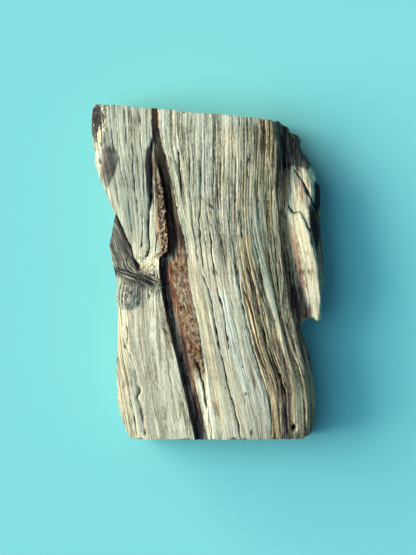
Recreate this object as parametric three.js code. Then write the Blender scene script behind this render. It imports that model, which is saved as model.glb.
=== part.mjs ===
// A short, broad stick of palo santo: one weathered piece of wood, sawn across at both ends and
// split along its grain, lying on its flatter side.
// Millimetres, +Z up, +Y along the grain. The origin is on the resting surface, at the centre of
// the piece's bounding box seen from above.
import * as THREE from "three";

// Driving dimensions
const LENGTH = 100; // along the grain, saw cut to saw cut, at the middle of the piece
const WIDTH = 70; // across the grain, at the widest place
const THICKNESS = 28; // from the surface to the crown of the weathered face

const HALF = LENGTH / 2;
const SIDE = WIDTH / 2;
const TOP_CUT = 0.954 * HALF; // where the upper saw cut crosses the middle of the piece
const BOTTOM_CUT = -0.996 * HALF;
const CUT_SLANT = -0.0915; // the upper cut drops by this much for each millimetre to the right
const CUT_PIVOT = -0.19 * SIDE; // the place across the piece that the slanted cut turns about
const SLANT_START = 0.4 * HALF; // stations above this lean, so that the last one lies in the cut

// Mesh density
const STATIONS = 45; // sections along the grain
const WALL_SPANS = 7; // steps down each side wall
const UNDER_SPANS = 14; // steps across the underside

// Underside
const FOOT_LIFT = 2.2; // how far the underside's edges are clear of the surface
const FOOT_INSET = 3.8; // distance from its edge at which the underside comes down to the surface
const FOOT_WANDER = 1.6; // how much that distance grows and shrinks along the grain
const FOOT_RUN = 13; // from one of those changes to the next

// Relief of the weathered face and of the side walls
const RIDGE_PITCH = 3.6; // from one grain ridge to the next
const RIDGE_RUN = 46; // how far along the grain a ridge keeps its shape
const RIDGE_HEIGHT = 0.52;
const FINE_PITCH = 1.8; // the same, of the finer ridges
const FINE_RUN = 28;
const FINE_HEIGHT = 0.32;
const LEDGE_PITCH = 3.8; // from one split ledge to the next, down the side walls
const LEDGE_RUN = 30; // how far along the grain a ledge keeps its shape
const LEDGE_DEPTH = 1.5;
const WALL_HOLLOW = 0.3; // how far a wall is drawn in at half its height, between ledges
const CHECK_FADE = 2.4; // length over which a check deepens from its ends

// Each line runs along the grain from the upper cut to the lower one, as [y, x, z] points.

// The outline's left side, where the weathered face ends: a dark rounded corner, a slanting
// break, the pointed flap beside the knot, and a nearly straight split below it.
const LEFT_EDGE = [
  [50.3, -33.9, 18.0],
  [47.1, -34.7, 17.0],
  [42.6, -34.8, 16.0],
  [37.5, -34.2, 16.0],
  [35.8, -33.7, 16.5],
  [33.6, -33.9, 17.0],
  [31.5, -33.4, 18.5],
  [28.2, -32.3, 20.0],
  [22.5, -29.8, 21.0],
  [17.6, -27.4, 20.5],
  [16.0, -27.9, 18.0],
  [13.8, -28.3, 17.0],
  [8.0, -29.5, 15.5],
  [2.7, -28.3, 16.5],
  [-3.0, -26.8, 18.5],
  [-14.4, -26.7, 20.0],
  [-28.8, -27.3, 20.0],
  [-39.0, -26.9, 19.5],
  [-42.9, -26.0, 19.0],
  [-47.4, -24.4, 18.5],
  [-49.8, -23.1, 18.0],
];

// Where the left bank levels off, a few millimetres in from its edge
const LEFT_BANK = [
  [50.3, -29.6, 22.6],
  [42.0, -30.2, 22.2],
  [36.0, -30.4, 21.8],
  [30.0, -30.2, 22.8],
  [22.5, -28.0, 23.4],
  [17.6, -25.4, 22.6],
  [12.0, -24.6, 20.2],
  [7.0, -23.8, 19.6],
  [2.5, -22.8, 20.6],
  [-3.0, -22.3, 22.6],
  [-14.0, -22.8, 24.0],
  [-28.0, -23.4, 24.2],
  [-40.0, -22.8, 23.6],
  [-49.8, -19.0, 23.0],
];

// The cleft: its left lip, the two edges of its floor and its right lip
const LEFT_LIP = [
  [49.2, -16.3, 24.6],
  [44.1, -16.4, 24.6],
  [38.1, -16.3, 24.4],
  [33.6, -15.7, 23.8],
  [30.6, -14.8, 23.2],
  [27.6, -13.9, 22.8],
  [24.6, -13.3, 22.6],
  [18.6, -12.7, 22.4],
  [12.6, -12.0, 22.4],
  [9.6, -11.8, 22.4],
  [6.3, -11.9, 22.6],
  [5.3, -13.2, 22.8],
  [4.2, -14.3, 23.0],
  [3.0, -14.4, 23.2],
  [0.0, -14.4, 23.4],
  [-5.4, -13.8, 24.0],
  [-12.9, -12.3, 24.6],
  [-20.4, -10.5, 24.8],
  [-29.4, -8.3, 24.8],
  [-38.4, -6.2, 24.6],
  [-45.9, -4.5, 24.2],
  [-49.8, -3.7, 24.0],
];
const FLOOR_LEFT = [
  [49.2, -15.8, 23.4],
  [44.1, -15.8, 23.2],
  [38.1, -15.0, 22.0],
  [33.6, -14.3, 19.8],
  [30.6, -13.7, 18.0],
  [27.6, -13.0, 17.0],
  [24.6, -12.5, 16.6],
  [18.6, -12.0, 16.2],
  [12.6, -11.4, 16.0],
  [9.6, -11.2, 16.0],
  [6.3, -11.3, 16.4],
  [5.3, -12.5, 17.2],
  [4.2, -13.6, 18.2],
  [3.0, -13.7, 19.2],
  [0.0, -13.6, 19.8],
  [-5.4, -13.1, 20.4],
  [-12.9, -11.6, 21.0],
  [-20.4, -9.8, 21.2],
  [-29.4, -7.6, 21.2],
  [-38.4, -5.5, 21.0],
  [-45.9, -3.8, 20.8],
  [-49.8, -3.0, 20.6],
];
const FLOOR_RIGHT = [
  [49.2, -15.0, 23.4],
  [44.1, -14.9, 23.0],
  [38.1, -13.8, 21.2],
  [33.6, -12.8, 18.4],
  [27.6, -11.7, 16.6],
  [18.6, -10.9, 16.2],
  [9.6, -10.1, 16.4],
  [6.3, -10.1, 18.2],
  [4.6, -10.3, 20.4],
  [3.0, -10.4, 22.2],
  [-2.4, -10.3, 22.8],
  [-8.4, -9.0, 23.2],
  [-14.4, -7.6, 23.4],
  [-20.4, -6.4, 23.4],
  [-26.4, -5.2, 23.2],
  [-32.4, -3.8, 23.0],
  [-38.4, -2.4, 22.8],
  [-47.4, -0.2, 22.4],
  [-49.8, 0.2, 22.2],
];
const RIGHT_LIP = [
  [49.2, -14.5, 24.8],
  [42.0, -14.3, 24.8],
  [37.2, -13.2, 25.0],
  [33.6, -12.3, 25.2],
  [27.6, -10.9, 25.4],
  [21.6, -9.6, 25.6],
  [15.6, -8.4, 25.8],
  [9.6, -6.8, 25.8],
  [4.8, -6.0, 25.8],
  [-0.9, -5.3, 25.8],
  [-8.4, -4.3, 25.8],
  [-14.4, -2.8, 25.8],
  [-18.9, -2.1, 25.4],
  [-24.9, -1.3, 25.0],
  [-30.9, -0.3, 24.6],
  [-38.4, 0.6, 24.4],
  [-45.9, 1.7, 24.0],
  [-49.8, 2.3, 23.8],
];

// The broad crown of the main body, midway between the cleft and the right shoulder
const CROWN = [
  [50.3, 2.4, 26.0],
  [40.0, 3.4, 26.6],
  [30.0, 4.8, 27.2],
  [20.0, 5.6, 27.7],
  [10.0, 6.8, THICKNESS],
  [0.0, 7.8, THICKNESS],
  [-10.0, 9.2, 27.8],
  [-20.0, 10.4, 27.2],
  [-30.0, 11.6, 26.5],
  [-40.0, 12.0, 25.6],
  [-49.8, 12.0, 24.6],
];

// The right shoulder, where the face breaks off, and the foot of that drop
const SHOULDER = [
  [47.0, 18.0, 23.6],
  [42.3, 19.8, 23.2],
  [37.8, 20.4, 23.0],
  [32.0, 21.2, 23.0],
  [25.0, 21.8, 22.8],
  [18.0, 21.6, 22.6],
  [8.0, 22.0, 22.6],
  [-2.4, 23.0, 22.4],
  [-11.0, 24.8, 22.2],
  [-15.4, 26.2, 22.2],
  [-20.7, 27.0, 22.4],
  [-28.8, 28.6, 22.2],
  [-38.4, 29.6, 21.8],
  [-46.8, 29.6, 21.2],
  [-49.8, 28.6, 20.8],
];
const FOOT = [
  [47.0, 18.8, 21.0],
  [42.3, 21.4, 18.0],
  [37.8, 22.6, 16.8],
  [32.0, 23.4, 17.6],
  [25.0, 23.4, 19.4],
  [18.0, 22.7, 19.6],
  [8.0, 23.1, 18.6],
  [-2.4, 24.7, 17.2],
  [-8.0, 26.4, 15.8],
  [-12.6, 28.6, 14.6],
  [-13.6, 28.8, 15.6],
  [-14.6, 27.5, 17.8],
  [-15.4, 26.8, 19.4],
  [-20.7, 27.9, 19.8],
  [-28.8, 29.6, 19.0],
  [-38.4, 30.7, 18.0],
  [-46.8, 30.6, 17.0],
  [-49.8, 29.3, 16.6],
];

// The crest of the pale tongue that hangs over the notch, and below it the face's last rib
const CREST = [
  [47.0, 19.7, 16.4],
  [42.3, 24.1, 13.0],
  [37.8, 26.6, 12.6],
  [34.6, 28.2, 13.8],
  [31.0, 29.4, 19.6],
  [25.0, 30.8, 21.8],
  [18.0, 30.6, 22.2],
  [10.0, 30.8, 22.2],
  [6.0, 31.6, 21.8],
  [1.2, 32.8, 21.2],
  [-4.0, 33.3, 20.6],
  [-8.4, 33.7, 19.8],
  [-12.6, 33.2, 18.4],
  [-13.6, 31.0, 16.6],
  [-14.6, 28.5, 15.6],
  [-15.4, 27.4, 15.6],
  [-20.7, 28.7, 14.6],
  [-28.8, 30.6, 12.4],
  [-38.4, 31.7, 10.2],
  [-46.8, 31.6, 8.6],
  [-49.8, 29.8, 8.4],
];

// The outline's right side: the broken dark corner, the tongue, the notch and the lower split
const RIGHT_EDGE = [
  [45.4, 20.6, 12.0],
  [44.8, 22.7, 10.5],
  [43.9, 24.2, 9.8],
  [43.0, 24.9, 9.2],
  [42.3, 25.0, 9.0],
  [42.0, 26.1, 8.8],
  [41.1, 26.9, 8.6],
  [39.7, 27.8, 8.5],
  [38.1, 28.3, 8.5],
  [36.9, 28.5, 8.6],
  [36.2, 29.2, 8.8],
  [35.1, 29.4, 9.0],
  [34.1, 30.4, 9.2],
  [33.1, 31.5, 9.6],
  [31.3, 31.7, 10.2],
  [30.6, 32.3, 10.6],
  [27.9, 32.7, 11.4],
  [26.4, 33.4, 12.6],
  [24.9, 33.9, 13.2],
  [12.6, 34.0, 14.4],
  [6.6, 34.5, 15.0],
  [2.1, SIDE, 15.4],
  [-2.4, 34.8, 15.8],
  [-7.5, 34.5, 16.0],
  [-11.4, 34.2, 15.6],
  [-12.6, 34.0, 15.2],
  [-13.6, 31.6, 14.6],
  [-14.6, 28.9, 13.8],
  [-15.4, 28.0, 13.2],
  [-16.2, 27.9, 12.8],
  [-18.3, 28.3, 12.0],
  [-20.7, 29.5, 10.8],
  [-24.0, 30.7, 9.2],
  [-28.8, 31.5, 7.2],
  [-38.4, 32.7, 4.8],
  [-42.9, 33.0, 4.2],
  [-46.8, 32.5, 4.0],
  [-49.1, 31.3, 4.0],
  [-49.8, 30.4, 4.0],
];

// The underside's two edges. The right one is set back under the tongue and the notch.
const LEFT_FOOT = [
  [50.3, -31.0, FOOT_LIFT],
  [36.0, -31.2, FOOT_LIFT],
  [20.0, -27.4, FOOT_LIFT],
  [8.0, -26.2, FOOT_LIFT],
  [-3.0, -24.8, FOOT_LIFT],
  [-20.0, -24.9, FOOT_LIFT],
  [-40.0, -24.4, FOOT_LIFT],
  [-49.8, -21.4, FOOT_LIFT],
];
const RIGHT_FOOT = [
  [47.0, 18.4, FOOT_LIFT],
  [40.0, 24.0, FOOT_LIFT],
  [26.0, 29.4, FOOT_LIFT],
  [10.0, 30.4, FOOT_LIFT],
  [-5.0, 29.4, FOOT_LIFT],
  [-12.0, 27.0, FOOT_LIFT],
  [-18.0, 26.2, FOOT_LIFT],
  [-25.0, 27.8, FOOT_LIFT],
  [-38.0, 30.2, FOOT_LIFT],
  [-46.0, 30.2, FOOT_LIFT],
  [-49.8, 28.4, FOOT_LIFT],
];

// The face's lines from left to right: the number of mesh steps from each to the next, the share
// of the relief that it takes, and how far the face rises there above (below, if negative) a
// straight run to the next line. The last line closes the face with a single point.
const FACE = [
  { line: LEFT_EDGE, steps: 4, relief: 0.25, bulge: 0.5 },
  { line: LEFT_BANK, steps: 9, relief: 1, bulge: 0 },
  { line: LEFT_LIP, steps: 2, relief: 0.5, bulge: 0 },
  { line: FLOOR_LEFT, steps: 3, relief: 0.3, bulge: -0.2 },
  { line: FLOOR_RIGHT, steps: 4, relief: 0.5, bulge: 0.2 },
  { line: RIGHT_LIP, steps: 14, relief: 1, bulge: 0.3 },
  { line: CROWN, steps: 15, relief: 1, bulge: -0.8 },
  { line: SHOULDER, steps: 2, relief: 0.7, bulge: 0 },
  { line: FOOT, steps: 5, relief: 0.5, bulge: 0.9 },
  { line: CREST, steps: 3, relief: 0.5, bulge: -0.4 },
  { line: RIGHT_EDGE, steps: 1, relief: 0, bulge: 0 },
];

// How grain lines wander: each row is one grain line's x at the heights in GRAIN_LEVELS.
const GRAIN_LEVELS = [50.1, 39.6, 29.1, 18.6, 8.1, -2.4, -12.9, -23.4, -33.9, -44.4, -50.4];
const GRAIN_LINES = [
  [-35.4, -34.2, -32.0, -30.2, -29.8, -31.1, -31.1, -30.5, -29.3, -27.5, -26.3],
  [-28.4, -27.7, -26.2, -24.6, -23.4, -23.9, -24.5, -23.3, -20.4, -18.8, -17.9],
  [-18.8, -18.3, -17.9, -17.5, -17.7, -17.6, -17.3, -16.7, -15.2, -13.1, -11.9],
  [-14.1, -13.8, -11.3, -9.0, -6.5, -5.1, -2.9, -1.1, 0.5, 1.8, 2.6],
  [-0.5, -0.5, -0.5, -0.2, 1.2, 2.6, 4.3, 6.4, 8.6, 11.3, 12.8],
  [7.1, 7.1, 7.1, 7.1, 7.2, 8.3, 10.7, 13.5, 17.6, 19.1, 19.2],
  [13.7, 14.0, 13.7, 13.5, 14.9, 17.9, 21.0, 22.8, 25.2, 25.4, 25.4],
  [20.3, 20.3, 20.0, 20.0, 20.7, 22.2, 22.7, 25.4, 28.7, 29.7, 30.0],
  [36.8, 36.8, 36.8, 37.1, 37.7, 38.3, 38.9, 39.8, 40.7, 41.3, 41.3],
];

// Long checks in the weathered face: rounded furrows along [y, x] points, with their half width
// and depth
const CHECKS = [
  // the flap's crack, from its pointed top to the pocket above the knot
  { width: 1.5, depth: 1.4, path: [[16.2, -27.3], [12.6, -25.7], [8.1, -23.5], [2.7, -21.9]] },
  // the dark pocket above the knot
  { width: 2.0, depth: 2.6, path: [[4.6, -21.1], [0.6, -20.3]] },
  // the split between the left bank and the pale rib beside the cleft
  { width: 1.3, depth: 1.4, path: [[20.1, -17.1], [13.8, -17.8], [9.0, -17.4], [3.6, -19.2]] },
  // the crack through the knot's slanting band of fibres
  { width: 1.3, depth: 1.2, path: [[0.8, -25.6], [-1.4, -20.5], [-3.5, -15.5]] },
  // the crack down the lower left
  {
    width: 1.5,
    depth: 1.1,
    path: [[-18.3, -26.0], [-24.0, -23.6], [-30.0, -21.2], [-35.1, -20.2], [-49.8, -18.1]],
  },
  // the two strongest checks of the main body
  {
    width: 1.7,
    depth: 1.2,
    path: [[0.0, -2.2], [-10.2, 1.5], [-17.4, 3.1], [-25.5, 4.2], [-38.7, 7.6], [-49.8, 9.8]],
  },
  {
    width: 1.7,
    depth: 1.2,
    path: [[3.3, 7.6], [-3.5, 8.5], [-17.4, 11.7], [-26.1, 14.3], [-38.1, 18.9], [-49.8, 19.2]],
  },
];

// Round swellings and hollows of the face, as a place, two radii and a height
const LUMPS = [
  { x: -24.2, y: -7.4, rx: 3.4, ry: 4.6, height: 0.9 }, // the knot
  { x: -29.4, y: 32.6, rx: 2.2, ry: 5.0, height: -1.0 }, // the dark hollow at the upper left
  { x: -32.6, y: 33.6, rx: 1.6, ry: 3.6, height: 0.9 }, // the bark lump outside it
];

// The knot's slanting band of fibres, a low rib between these two ends
const BAND = { x1: -27.2, y1: 1.8, x2: -14.6, y2: -4.0, width: 2.4, height: 0.8 };

// The tongue's tip: from x outwards its end reaches further along the grain, by up to drop.
const TIP = { x: 31.2, reach: 2.2, y: -13.0, spread: 2.0, drop: 2.2 };

// Heights at which the lines turn sharply: the notch and the step in the left bank
const JUMPS = [-12.6, -13.3, -13.9, -14.6, -15.4, 4.2, 5.3, 6.3];
const JUMP_CLEARANCE = 0.7; // no evenly spaced section lies closer to one of them

// 0 below a, 1 above b, smooth between
function smooth(a, b, t) {
  const s = Math.min(1, Math.max(0, (t - a) / (b - a)));
  return s * s * (3 - 2 * s);
}

function mix(a, b, t) {
  return a + (b - a) * t;
}

// Straight interpolation of column k of a line's points, whose first column falls
function along(line, y, k) {
  if (y >= line[0][0]) return line[0][k];
  for (let i = 1; i < line.length; i++) {
    const [above, below] = [line[i - 1], line[i]];
    if (y >= below[0]) return mix(below[k], above[k], (y - below[0]) / (above[0] - below[0]));
  }
  return line[line.length - 1][k];
}

// A repeatable value from 0 to 1 for each whole-number pair
function chance(i, j) {
  const h = Math.sin(i * 127.1 + j * 311.7) * 43758.5453;
  return h - Math.floor(h);
}

// Smooth noise from -1 to 1: cubic blending of the chances at the four corners round a point
function noise(a, b) {
  const [i, j] = [Math.floor(a), Math.floor(b)];
  const [s, t] = [smooth(0, 1, a - i), smooth(0, 1, b - j)];
  const low = mix(chance(i, j), chance(i + 1, j), s);
  const high = mix(chance(i, j + 1), chance(i + 1, j + 1), s);
  return 2 * mix(low, high, t) - 1;
}

// The grain coordinate: the x that the grain line through (x, y) has at the upper cut
function grain(x, y) {
  const level = GRAIN_LEVELS.findIndex((l) => y >= l);
  const n = level < 0 ? GRAIN_LEVELS.length - 1 : Math.max(1, level);
  const [above, below] = [GRAIN_LEVELS[n - 1], GRAIN_LEVELS[n]];
  const t = Math.min(1, Math.max(0, (above - y) / (above - below)));
  const here = GRAIN_LINES.map((line) => mix(line[n - 1], line[n], t));
  let k = 1;
  while (k < here.length - 1 && x > here[k]) k++;
  const share = (x - here[k - 1]) / (here[k] - here[k - 1]);
  return mix(GRAIN_LINES[k - 1][0], GRAIN_LINES[k][0], share);
}

// How deep the checks cut the face at (x, y): a bell across each path, fading at its ends
// unless the path runs out through the lower cut
function checkDepth(x, y) {
  let depth = 0;
  for (const { width, depth: full, path } of CHECKS) {
    const [top, end] = [path[0][0], path[path.length - 1][0]];
    if (y > top || y < end) continue;
    const off = (x - along(path, y, 1)) / width;
    const foot = end <= BOTTOM_CUT ? 1 : smooth(0, CHECK_FADE, y - end);
    depth = Math.max(depth, full * smooth(0, CHECK_FADE, top - y) * foot * Math.exp(-off * off));
  }
  return depth;
}

// The height that the lumps and the knot's band of fibres add at (x, y)
function lumpHeight(x, y) {
  let sum = 0;
  for (const { x: cx, y: cy, rx, ry, height } of LUMPS) {
    sum += height * Math.exp(-(((x - cx) / rx) ** 2) - ((y - cy) / ry) ** 2);
  }
  const { x1, y1, x2, y2, width, height } = BAND;
  const length = Math.hypot(x2 - x1, y2 - y1);
  const t = ((x - x1) * (x2 - x1) + (y - y1) * (y2 - y1)) / length ** 2;
  const off = ((x - x1) * (y2 - y1) - (y - y1) * (x2 - x1)) / length;
  const ends = smooth(-0.1, 0.1, t) * (1 - smooth(0.9, 1.05, t));
  return sum + height * ends * Math.exp(-((off / width) ** 2));
}

// Grain ridges: broad ones, and finer ones between them
function ridges(x, y) {
  const s = grain(x, y);
  const broad = noise(s / RIDGE_PITCH, y / RIDGE_RUN + 5);
  const fine = noise(s / FINE_PITCH + 9, y / FINE_RUN);
  return RIDGE_HEIGHT * broad + FINE_HEIGHT * fine;
}

// A point of the face: between line k and the next one, share t of the way, at height y
function facePoint(k, t, y) {
  const [a, b] = [FACE[k].line, (FACE[k + 1] ?? FACE[k]).line];
  const rise = t + FACE[k].bulge * t * (1 - t);
  return [mix(along(a, y, 1), along(b, y, 1), t), mix(along(a, y, 2), along(b, y, 2), rise)];
}

// Leans the stations near the upper cut, so that the last one lies in the slanted plane
function leaning(x, station) {
  return station + smooth(SLANT_START, TOP_CUT, station) * CUT_SLANT * (x - CUT_PIVOT);
}

// How far the tongue's tip pulls the point (x, y) along the grain
function tipDrop(x, y) {
  const bell = Math.exp(-(((y - TIP.y) / TIP.spread) ** 2));
  return TIP.drop * bell * smooth(TIP.x, TIP.x + TIP.reach, x);
}

// Finds the point that lies both on a leaning station and on the surface rule at(y)
function settle(station, at) {
  let y = station;
  let found = at(y);
  for (let i = 0; i < 5; i++) {
    y = leaning(found[0], station);
    found = at(y);
  }
  return { x: found[0], y, z: found[1] };
}

// A point of a side wall, share t of the way from the face's edge down to the underside's. The
// wall steps in and out in ledges that run along the grain; outward is 1 on the right.
function wallPoint(station, edge, foot, t, outward) {
  return settle(station, (y) => {
    const z = mix(along(edge, y, 2), along(foot, y, 2), t);
    const belly = Math.sin(Math.PI * t);
    const ledge = LEDGE_DEPTH * noise(z / LEDGE_PITCH + 0.4 * outward, y / LEDGE_RUN + outward);
    return [mix(along(edge, y, 1), along(foot, y, 1), t) + outward * belly * (ledge - WALL_HOLLOW), z];
  });
}

// A point of the underside, share t of the way from its right edge to its left one
function underPoint(station, t) {
  return settle(station, (y) => {
    const [right, left] = [along(RIGHT_FOOT, y, 1), along(LEFT_FOOT, y, 1)];
    const x = mix(right, left, t);
    const side = t < 0.5 ? 1 : 2;
    const inset = FOOT_INSET + FOOT_WANDER * noise(y / FOOT_RUN, side);
    return [x, FOOT_LIFT * (1 - smooth(0, inset, Math.min(right - x, x - left)))];
  });
}

// One closed section: over the face, down the right wall, back under and up the left wall
function section(station) {
  const ring = [];
  FACE.forEach(({ steps, relief }, k) => {
    for (let i = 0; i < steps; i++) {
      const t = i / steps;
      const p = settle(station, (y) => facePoint(k, t, y));
      const strength = mix(relief, FACE[k + 1]?.relief ?? relief, t);
      p.z += strength * (ridges(p.x, p.y) + lumpHeight(p.x, p.y) - checkDepth(p.x, p.y));
      p.y -= tipDrop(p.x, p.y);
      ring.push(p);
    }
  });
  for (let i = 1; i < WALL_SPANS; i++) {
    const p = wallPoint(station, RIGHT_EDGE, RIGHT_FOOT, i / WALL_SPANS, 1);
    p.y -= tipDrop(p.x, p.y) * (1 - i / WALL_SPANS);
    ring.push(p);
  }
  for (let i = 0; i <= UNDER_SPANS; i++) ring.push(underPoint(station, i / UNDER_SPANS));
  for (let i = WALL_SPANS - 1; i > 0; i--) {
    ring.push(wallPoint(station, LEFT_EDGE, LEFT_FOOT, i / WALL_SPANS, -1));
  }
  return ring;
}

// Stations from the lower cut to the upper one, with one added at each jump in the lines
function stationList() {
  const even = Array.from({ length: STATIONS }, (_, i) => mix(BOTTOM_CUT, TOP_CUT, i / (STATIONS - 1)));
  const kept = even.filter((y) => JUMPS.every((jump) => Math.abs(y - jump) > JUMP_CLEARANCE));
  return [...kept, ...JUMPS].sort((a, b) => a - b);
}

// Joins the sections with quads and closes both saw cuts with flat caps
function woodGeometry() {
  const rings = stationList().map(section);
  const around = rings[0].length;
  const positions = rings.flat().flatMap(({ x, y, z }) => [x, y, z]);
  const index = [];
  for (let r = 0; r < rings.length - 1; r++) {
    for (let i = 0; i < around; i++) {
      const a = r * around + i;
      const b = r * around + ((i + 1) % around);
      index.push(a, b, a + around, b, b + around, a + around);
    }
  }
  const cap = (ring, first, reversed) => {
    const flat = ring.map(({ x, z }) => new THREE.Vector2(x, z));
    for (const [a, b, c] of THREE.ShapeUtils.triangulateShape(flat, [])) {
      index.push(...(reversed ? [first + c, first + b, first + a] : [first + a, first + b, first + c]));
    }
  };
  cap(rings[0], 0, false);
  cap(rings[rings.length - 1], (rings.length - 1) * around, true);
  const geometry = new THREE.BufferGeometry();
  geometry.setAttribute("position", new THREE.Float32BufferAttribute(positions, 3));
  geometry.setIndex(index);
  return geometry;
}

// Puts the origin at the centre of the bounding box seen from above, on the surface
function centred(geometry) {
  geometry.computeBoundingBox();
  const { min, max } = geometry.boundingBox;
  geometry.translate(-(min.x + max.x) / 2, -(min.y + max.y) / 2, -min.z);
  geometry.computeVertexNormals();
  return geometry;
}

const weatheredWood = new THREE.MeshStandardMaterial({
  color: new THREE.Color().setRGB(0.55, 0.5, 0.38, THREE.SRGBColorSpace),
  roughness: 0.85,
  metalness: 0,
});

const stick = new THREE.Mesh(centred(woodGeometry()), weatheredWood);
stick.name = "palo_santo_stick";

const part = new THREE.Group();
part.add(stick);

export default part;
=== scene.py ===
"""Looks of a short, broad, weathered palo santo stick, seen from straight above.

Shapes are worked out in millimetres in the stick's own drawing frame (x across the grain, y along it, z up)
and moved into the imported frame, in metres, when a mesh is made. Photograph pixels, where a feature is
placed by one, are named as such and turned into millimetres by PHOTO.
"""
import logging
import math
from collections.abc import Callable
from dataclasses import dataclass, field
from enum import Enum, IntEnum

import bpy
import numpy as np
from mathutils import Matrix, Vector
from mathutils.geometry import delaunay_2d_cdt


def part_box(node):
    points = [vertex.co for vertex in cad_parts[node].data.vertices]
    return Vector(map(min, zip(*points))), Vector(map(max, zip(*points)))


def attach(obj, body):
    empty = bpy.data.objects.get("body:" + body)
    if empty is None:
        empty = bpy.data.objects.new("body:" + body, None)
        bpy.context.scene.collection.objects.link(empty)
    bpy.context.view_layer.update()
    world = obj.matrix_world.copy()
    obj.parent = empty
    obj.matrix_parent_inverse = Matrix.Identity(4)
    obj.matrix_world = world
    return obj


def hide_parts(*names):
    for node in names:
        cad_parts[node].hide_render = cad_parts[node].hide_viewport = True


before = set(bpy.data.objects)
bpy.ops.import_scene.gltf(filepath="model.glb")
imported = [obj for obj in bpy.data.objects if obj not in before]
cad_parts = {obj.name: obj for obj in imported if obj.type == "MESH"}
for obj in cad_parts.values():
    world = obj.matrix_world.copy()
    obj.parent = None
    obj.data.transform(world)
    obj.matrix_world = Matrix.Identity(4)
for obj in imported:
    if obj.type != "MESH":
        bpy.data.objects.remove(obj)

LOG = logging.getLogger("palo_santo")
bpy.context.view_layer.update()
NODE = "palo_santo_stick"
MM = 0.001
CHANCE_STEPS = (127.1, 311.7)
CHANCE_SCALE = 43758.5453

Array = np.ndarray
Points = tuple[tuple[float, ...], ...]
Rule = Callable[[Array], tuple[Array, Array]]


def smooth(low: float, high: float, value: Array) -> Array:
    """Goes from 0 at low to 1 at high along the cubic 3t^2 - 2t^3.

    Args:
        low: Value at which the result leaves 0.
        high: Value at which the result reaches 1.
        value: Where to evaluate.

    Returns:
        An array from 0 to 1, of the shape of value.
    """
    t = np.clip((value - low) / (high - low), 0.0, 1.0)
    return t * t * (3.0 - 2.0 * t)


def mix(a: Array, b: Array, t: Array) -> Array:
    """Straight blend: a where t is 0, b where t is 1."""
    return a + (b - a) * t


def bell(offset: Array, width: float) -> Array:
    """The bell exp(-(offset / width)^2)."""
    return np.exp(-((offset / width) ** 2))


def chance(i: Array, j: Array) -> Array:
    """A repeatable value from 0 to 1 for each pair: the fraction of a large multiple of a sine."""
    h = np.sin(i * CHANCE_STEPS[0] + j * CHANCE_STEPS[1]) * CHANCE_SCALE
    return h - np.floor(h)


def blotches(a: Array, b: Array, seed: int) -> Array:
    """Smooth noise from -1 to 1: cubic blending of the chances at a lattice cell's four corners.

    A call divides millimetres by the cell's size; its seed stands for nothing but the pattern.

    Args:
        a: First coordinate, in cells.
        b: Second coordinate, in cells.
        seed: Picks another pattern.

    Returns:
        The noise, of the shape of a.
    """
    i, j = np.floor(a), np.floor(b)
    s, t = smooth(0, 1, a - i), smooth(0, 1, b - j)
    i, j = i + 57.0 * seed, j + 13.0 * seed
    low = mix(chance(i, j), chance(i + 1, j), s)
    high = mix(chance(i, j + 1), chance(i + 1, j + 1), s)
    return 2.0 * mix(low, high, t) - 1.0


def strands(a: Array, b: Array, seed: int) -> Array:
    """Noise from -1 to 1 whose lattice columns each start at a phase of their own, so that strands end
    at different heights.

    Args:
        a: Coordinate across the strands, in strand widths.
        b: Coordinate along them, in strand lengths.
        seed: Picks another pattern.

    Returns:
        The noise, of the shape of a.
    """
    i = np.floor(a)
    t = smooth(0, 1, a - i)

    def column(k: Array) -> Array:
        """Noise along lattice columns, blended between the two nearest chances.

        Args:
            k: Each point's column number.

        Returns:
            The noise, from 0 to 1.
        """
        c = b + 37.0 * chance(k, np.full_like(k, seed + 0.5))
        j = np.floor(c)
        k = k + 91.0 * seed
        return mix(chance(k, j), chance(k, j + 1), smooth(0, 1, c - j))

    return 2.0 * mix(column(i), column(i + 1), t) - 1.0


def furrows(noise: Array, width: float) -> Array:
    """Turns noise into broad ridges with narrow furrows where it crosses 0: 1 - exp(-(noise / width)^2)."""
    return 1.0 - np.exp(-((noise / width) ** 2))


@dataclass(frozen=True)
class Photo:
    """How photograph pixels map to the drawing frame's millimetres."""

    centre_x: float = 207.5
    centre_y: float = 272.0
    mm_per_pixel: float = 0.3
    width: int = 416

    def mm(self, pixels: Points) -> Array:
        """Drawing-frame x and y, in rows, of (x, y) pixels."""
        p = np.array(pixels, float)
        return np.column_stack([p[:, 0] - self.centre_x, self.centre_y - p[:, 1]]) * self.mm_per_pixel


PHOTO = Photo()


def trace(x: Array, y: Array, path: Array) -> tuple[Array, Array, Array]:
    """Measures points against a polyline: each takes its nearest point on the nearest stretch.

    Args:
        x: Points' x.
        y: Points' y.
        path: The polyline's points, in rows.

    Returns:
        The distance, the signed offset (positive to the right of a path that runs down the page) and
        the length along the path, all in millimetres.
    """
    best = np.full(x.shape, 1e9)
    signed = np.zeros(x.shape)
    along = np.zeros(x.shape)
    start = 0.0
    for (ax, ay), (bx, by) in zip(path[:-1], path[1:]):
        dx, dy = bx - ax, by - ay
        length = math.hypot(dx, dy)
        t = np.clip(((x - ax) * dx + (y - ay) * dy) / length**2, 0, 1)
        ox, oy = x - (ax + t * dx), y - (ay + t * dy)
        d = np.hypot(ox, oy)
        nearer = d < best
        best = np.where(nearer, d, best)
        signed = np.where(nearer, np.where(ox * dy - oy * dx < 0, d, -d), signed)
        along = np.where(nearer, start + t * length, along)
        start += length
    return best, signed, along


def tapered(path: Array, along: Array, start: float, end: float) -> Array:
    """How strong a mark is along its path: 1, falling smoothly to 0 at both ends.

    Args:
        path: The path's points, in rows.
        along: Length along the path, in millimetres.
        start: Over how many millimetres it grows at the path's start.
        end: Over how many it fades at the path's end.

    Returns:
        The strength, from 0 to 1.
    """
    total = np.hypot(*np.diff(path, axis=0).T).sum()
    return smooth(0, start, along) * smooth(0, end, total - along)


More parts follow.
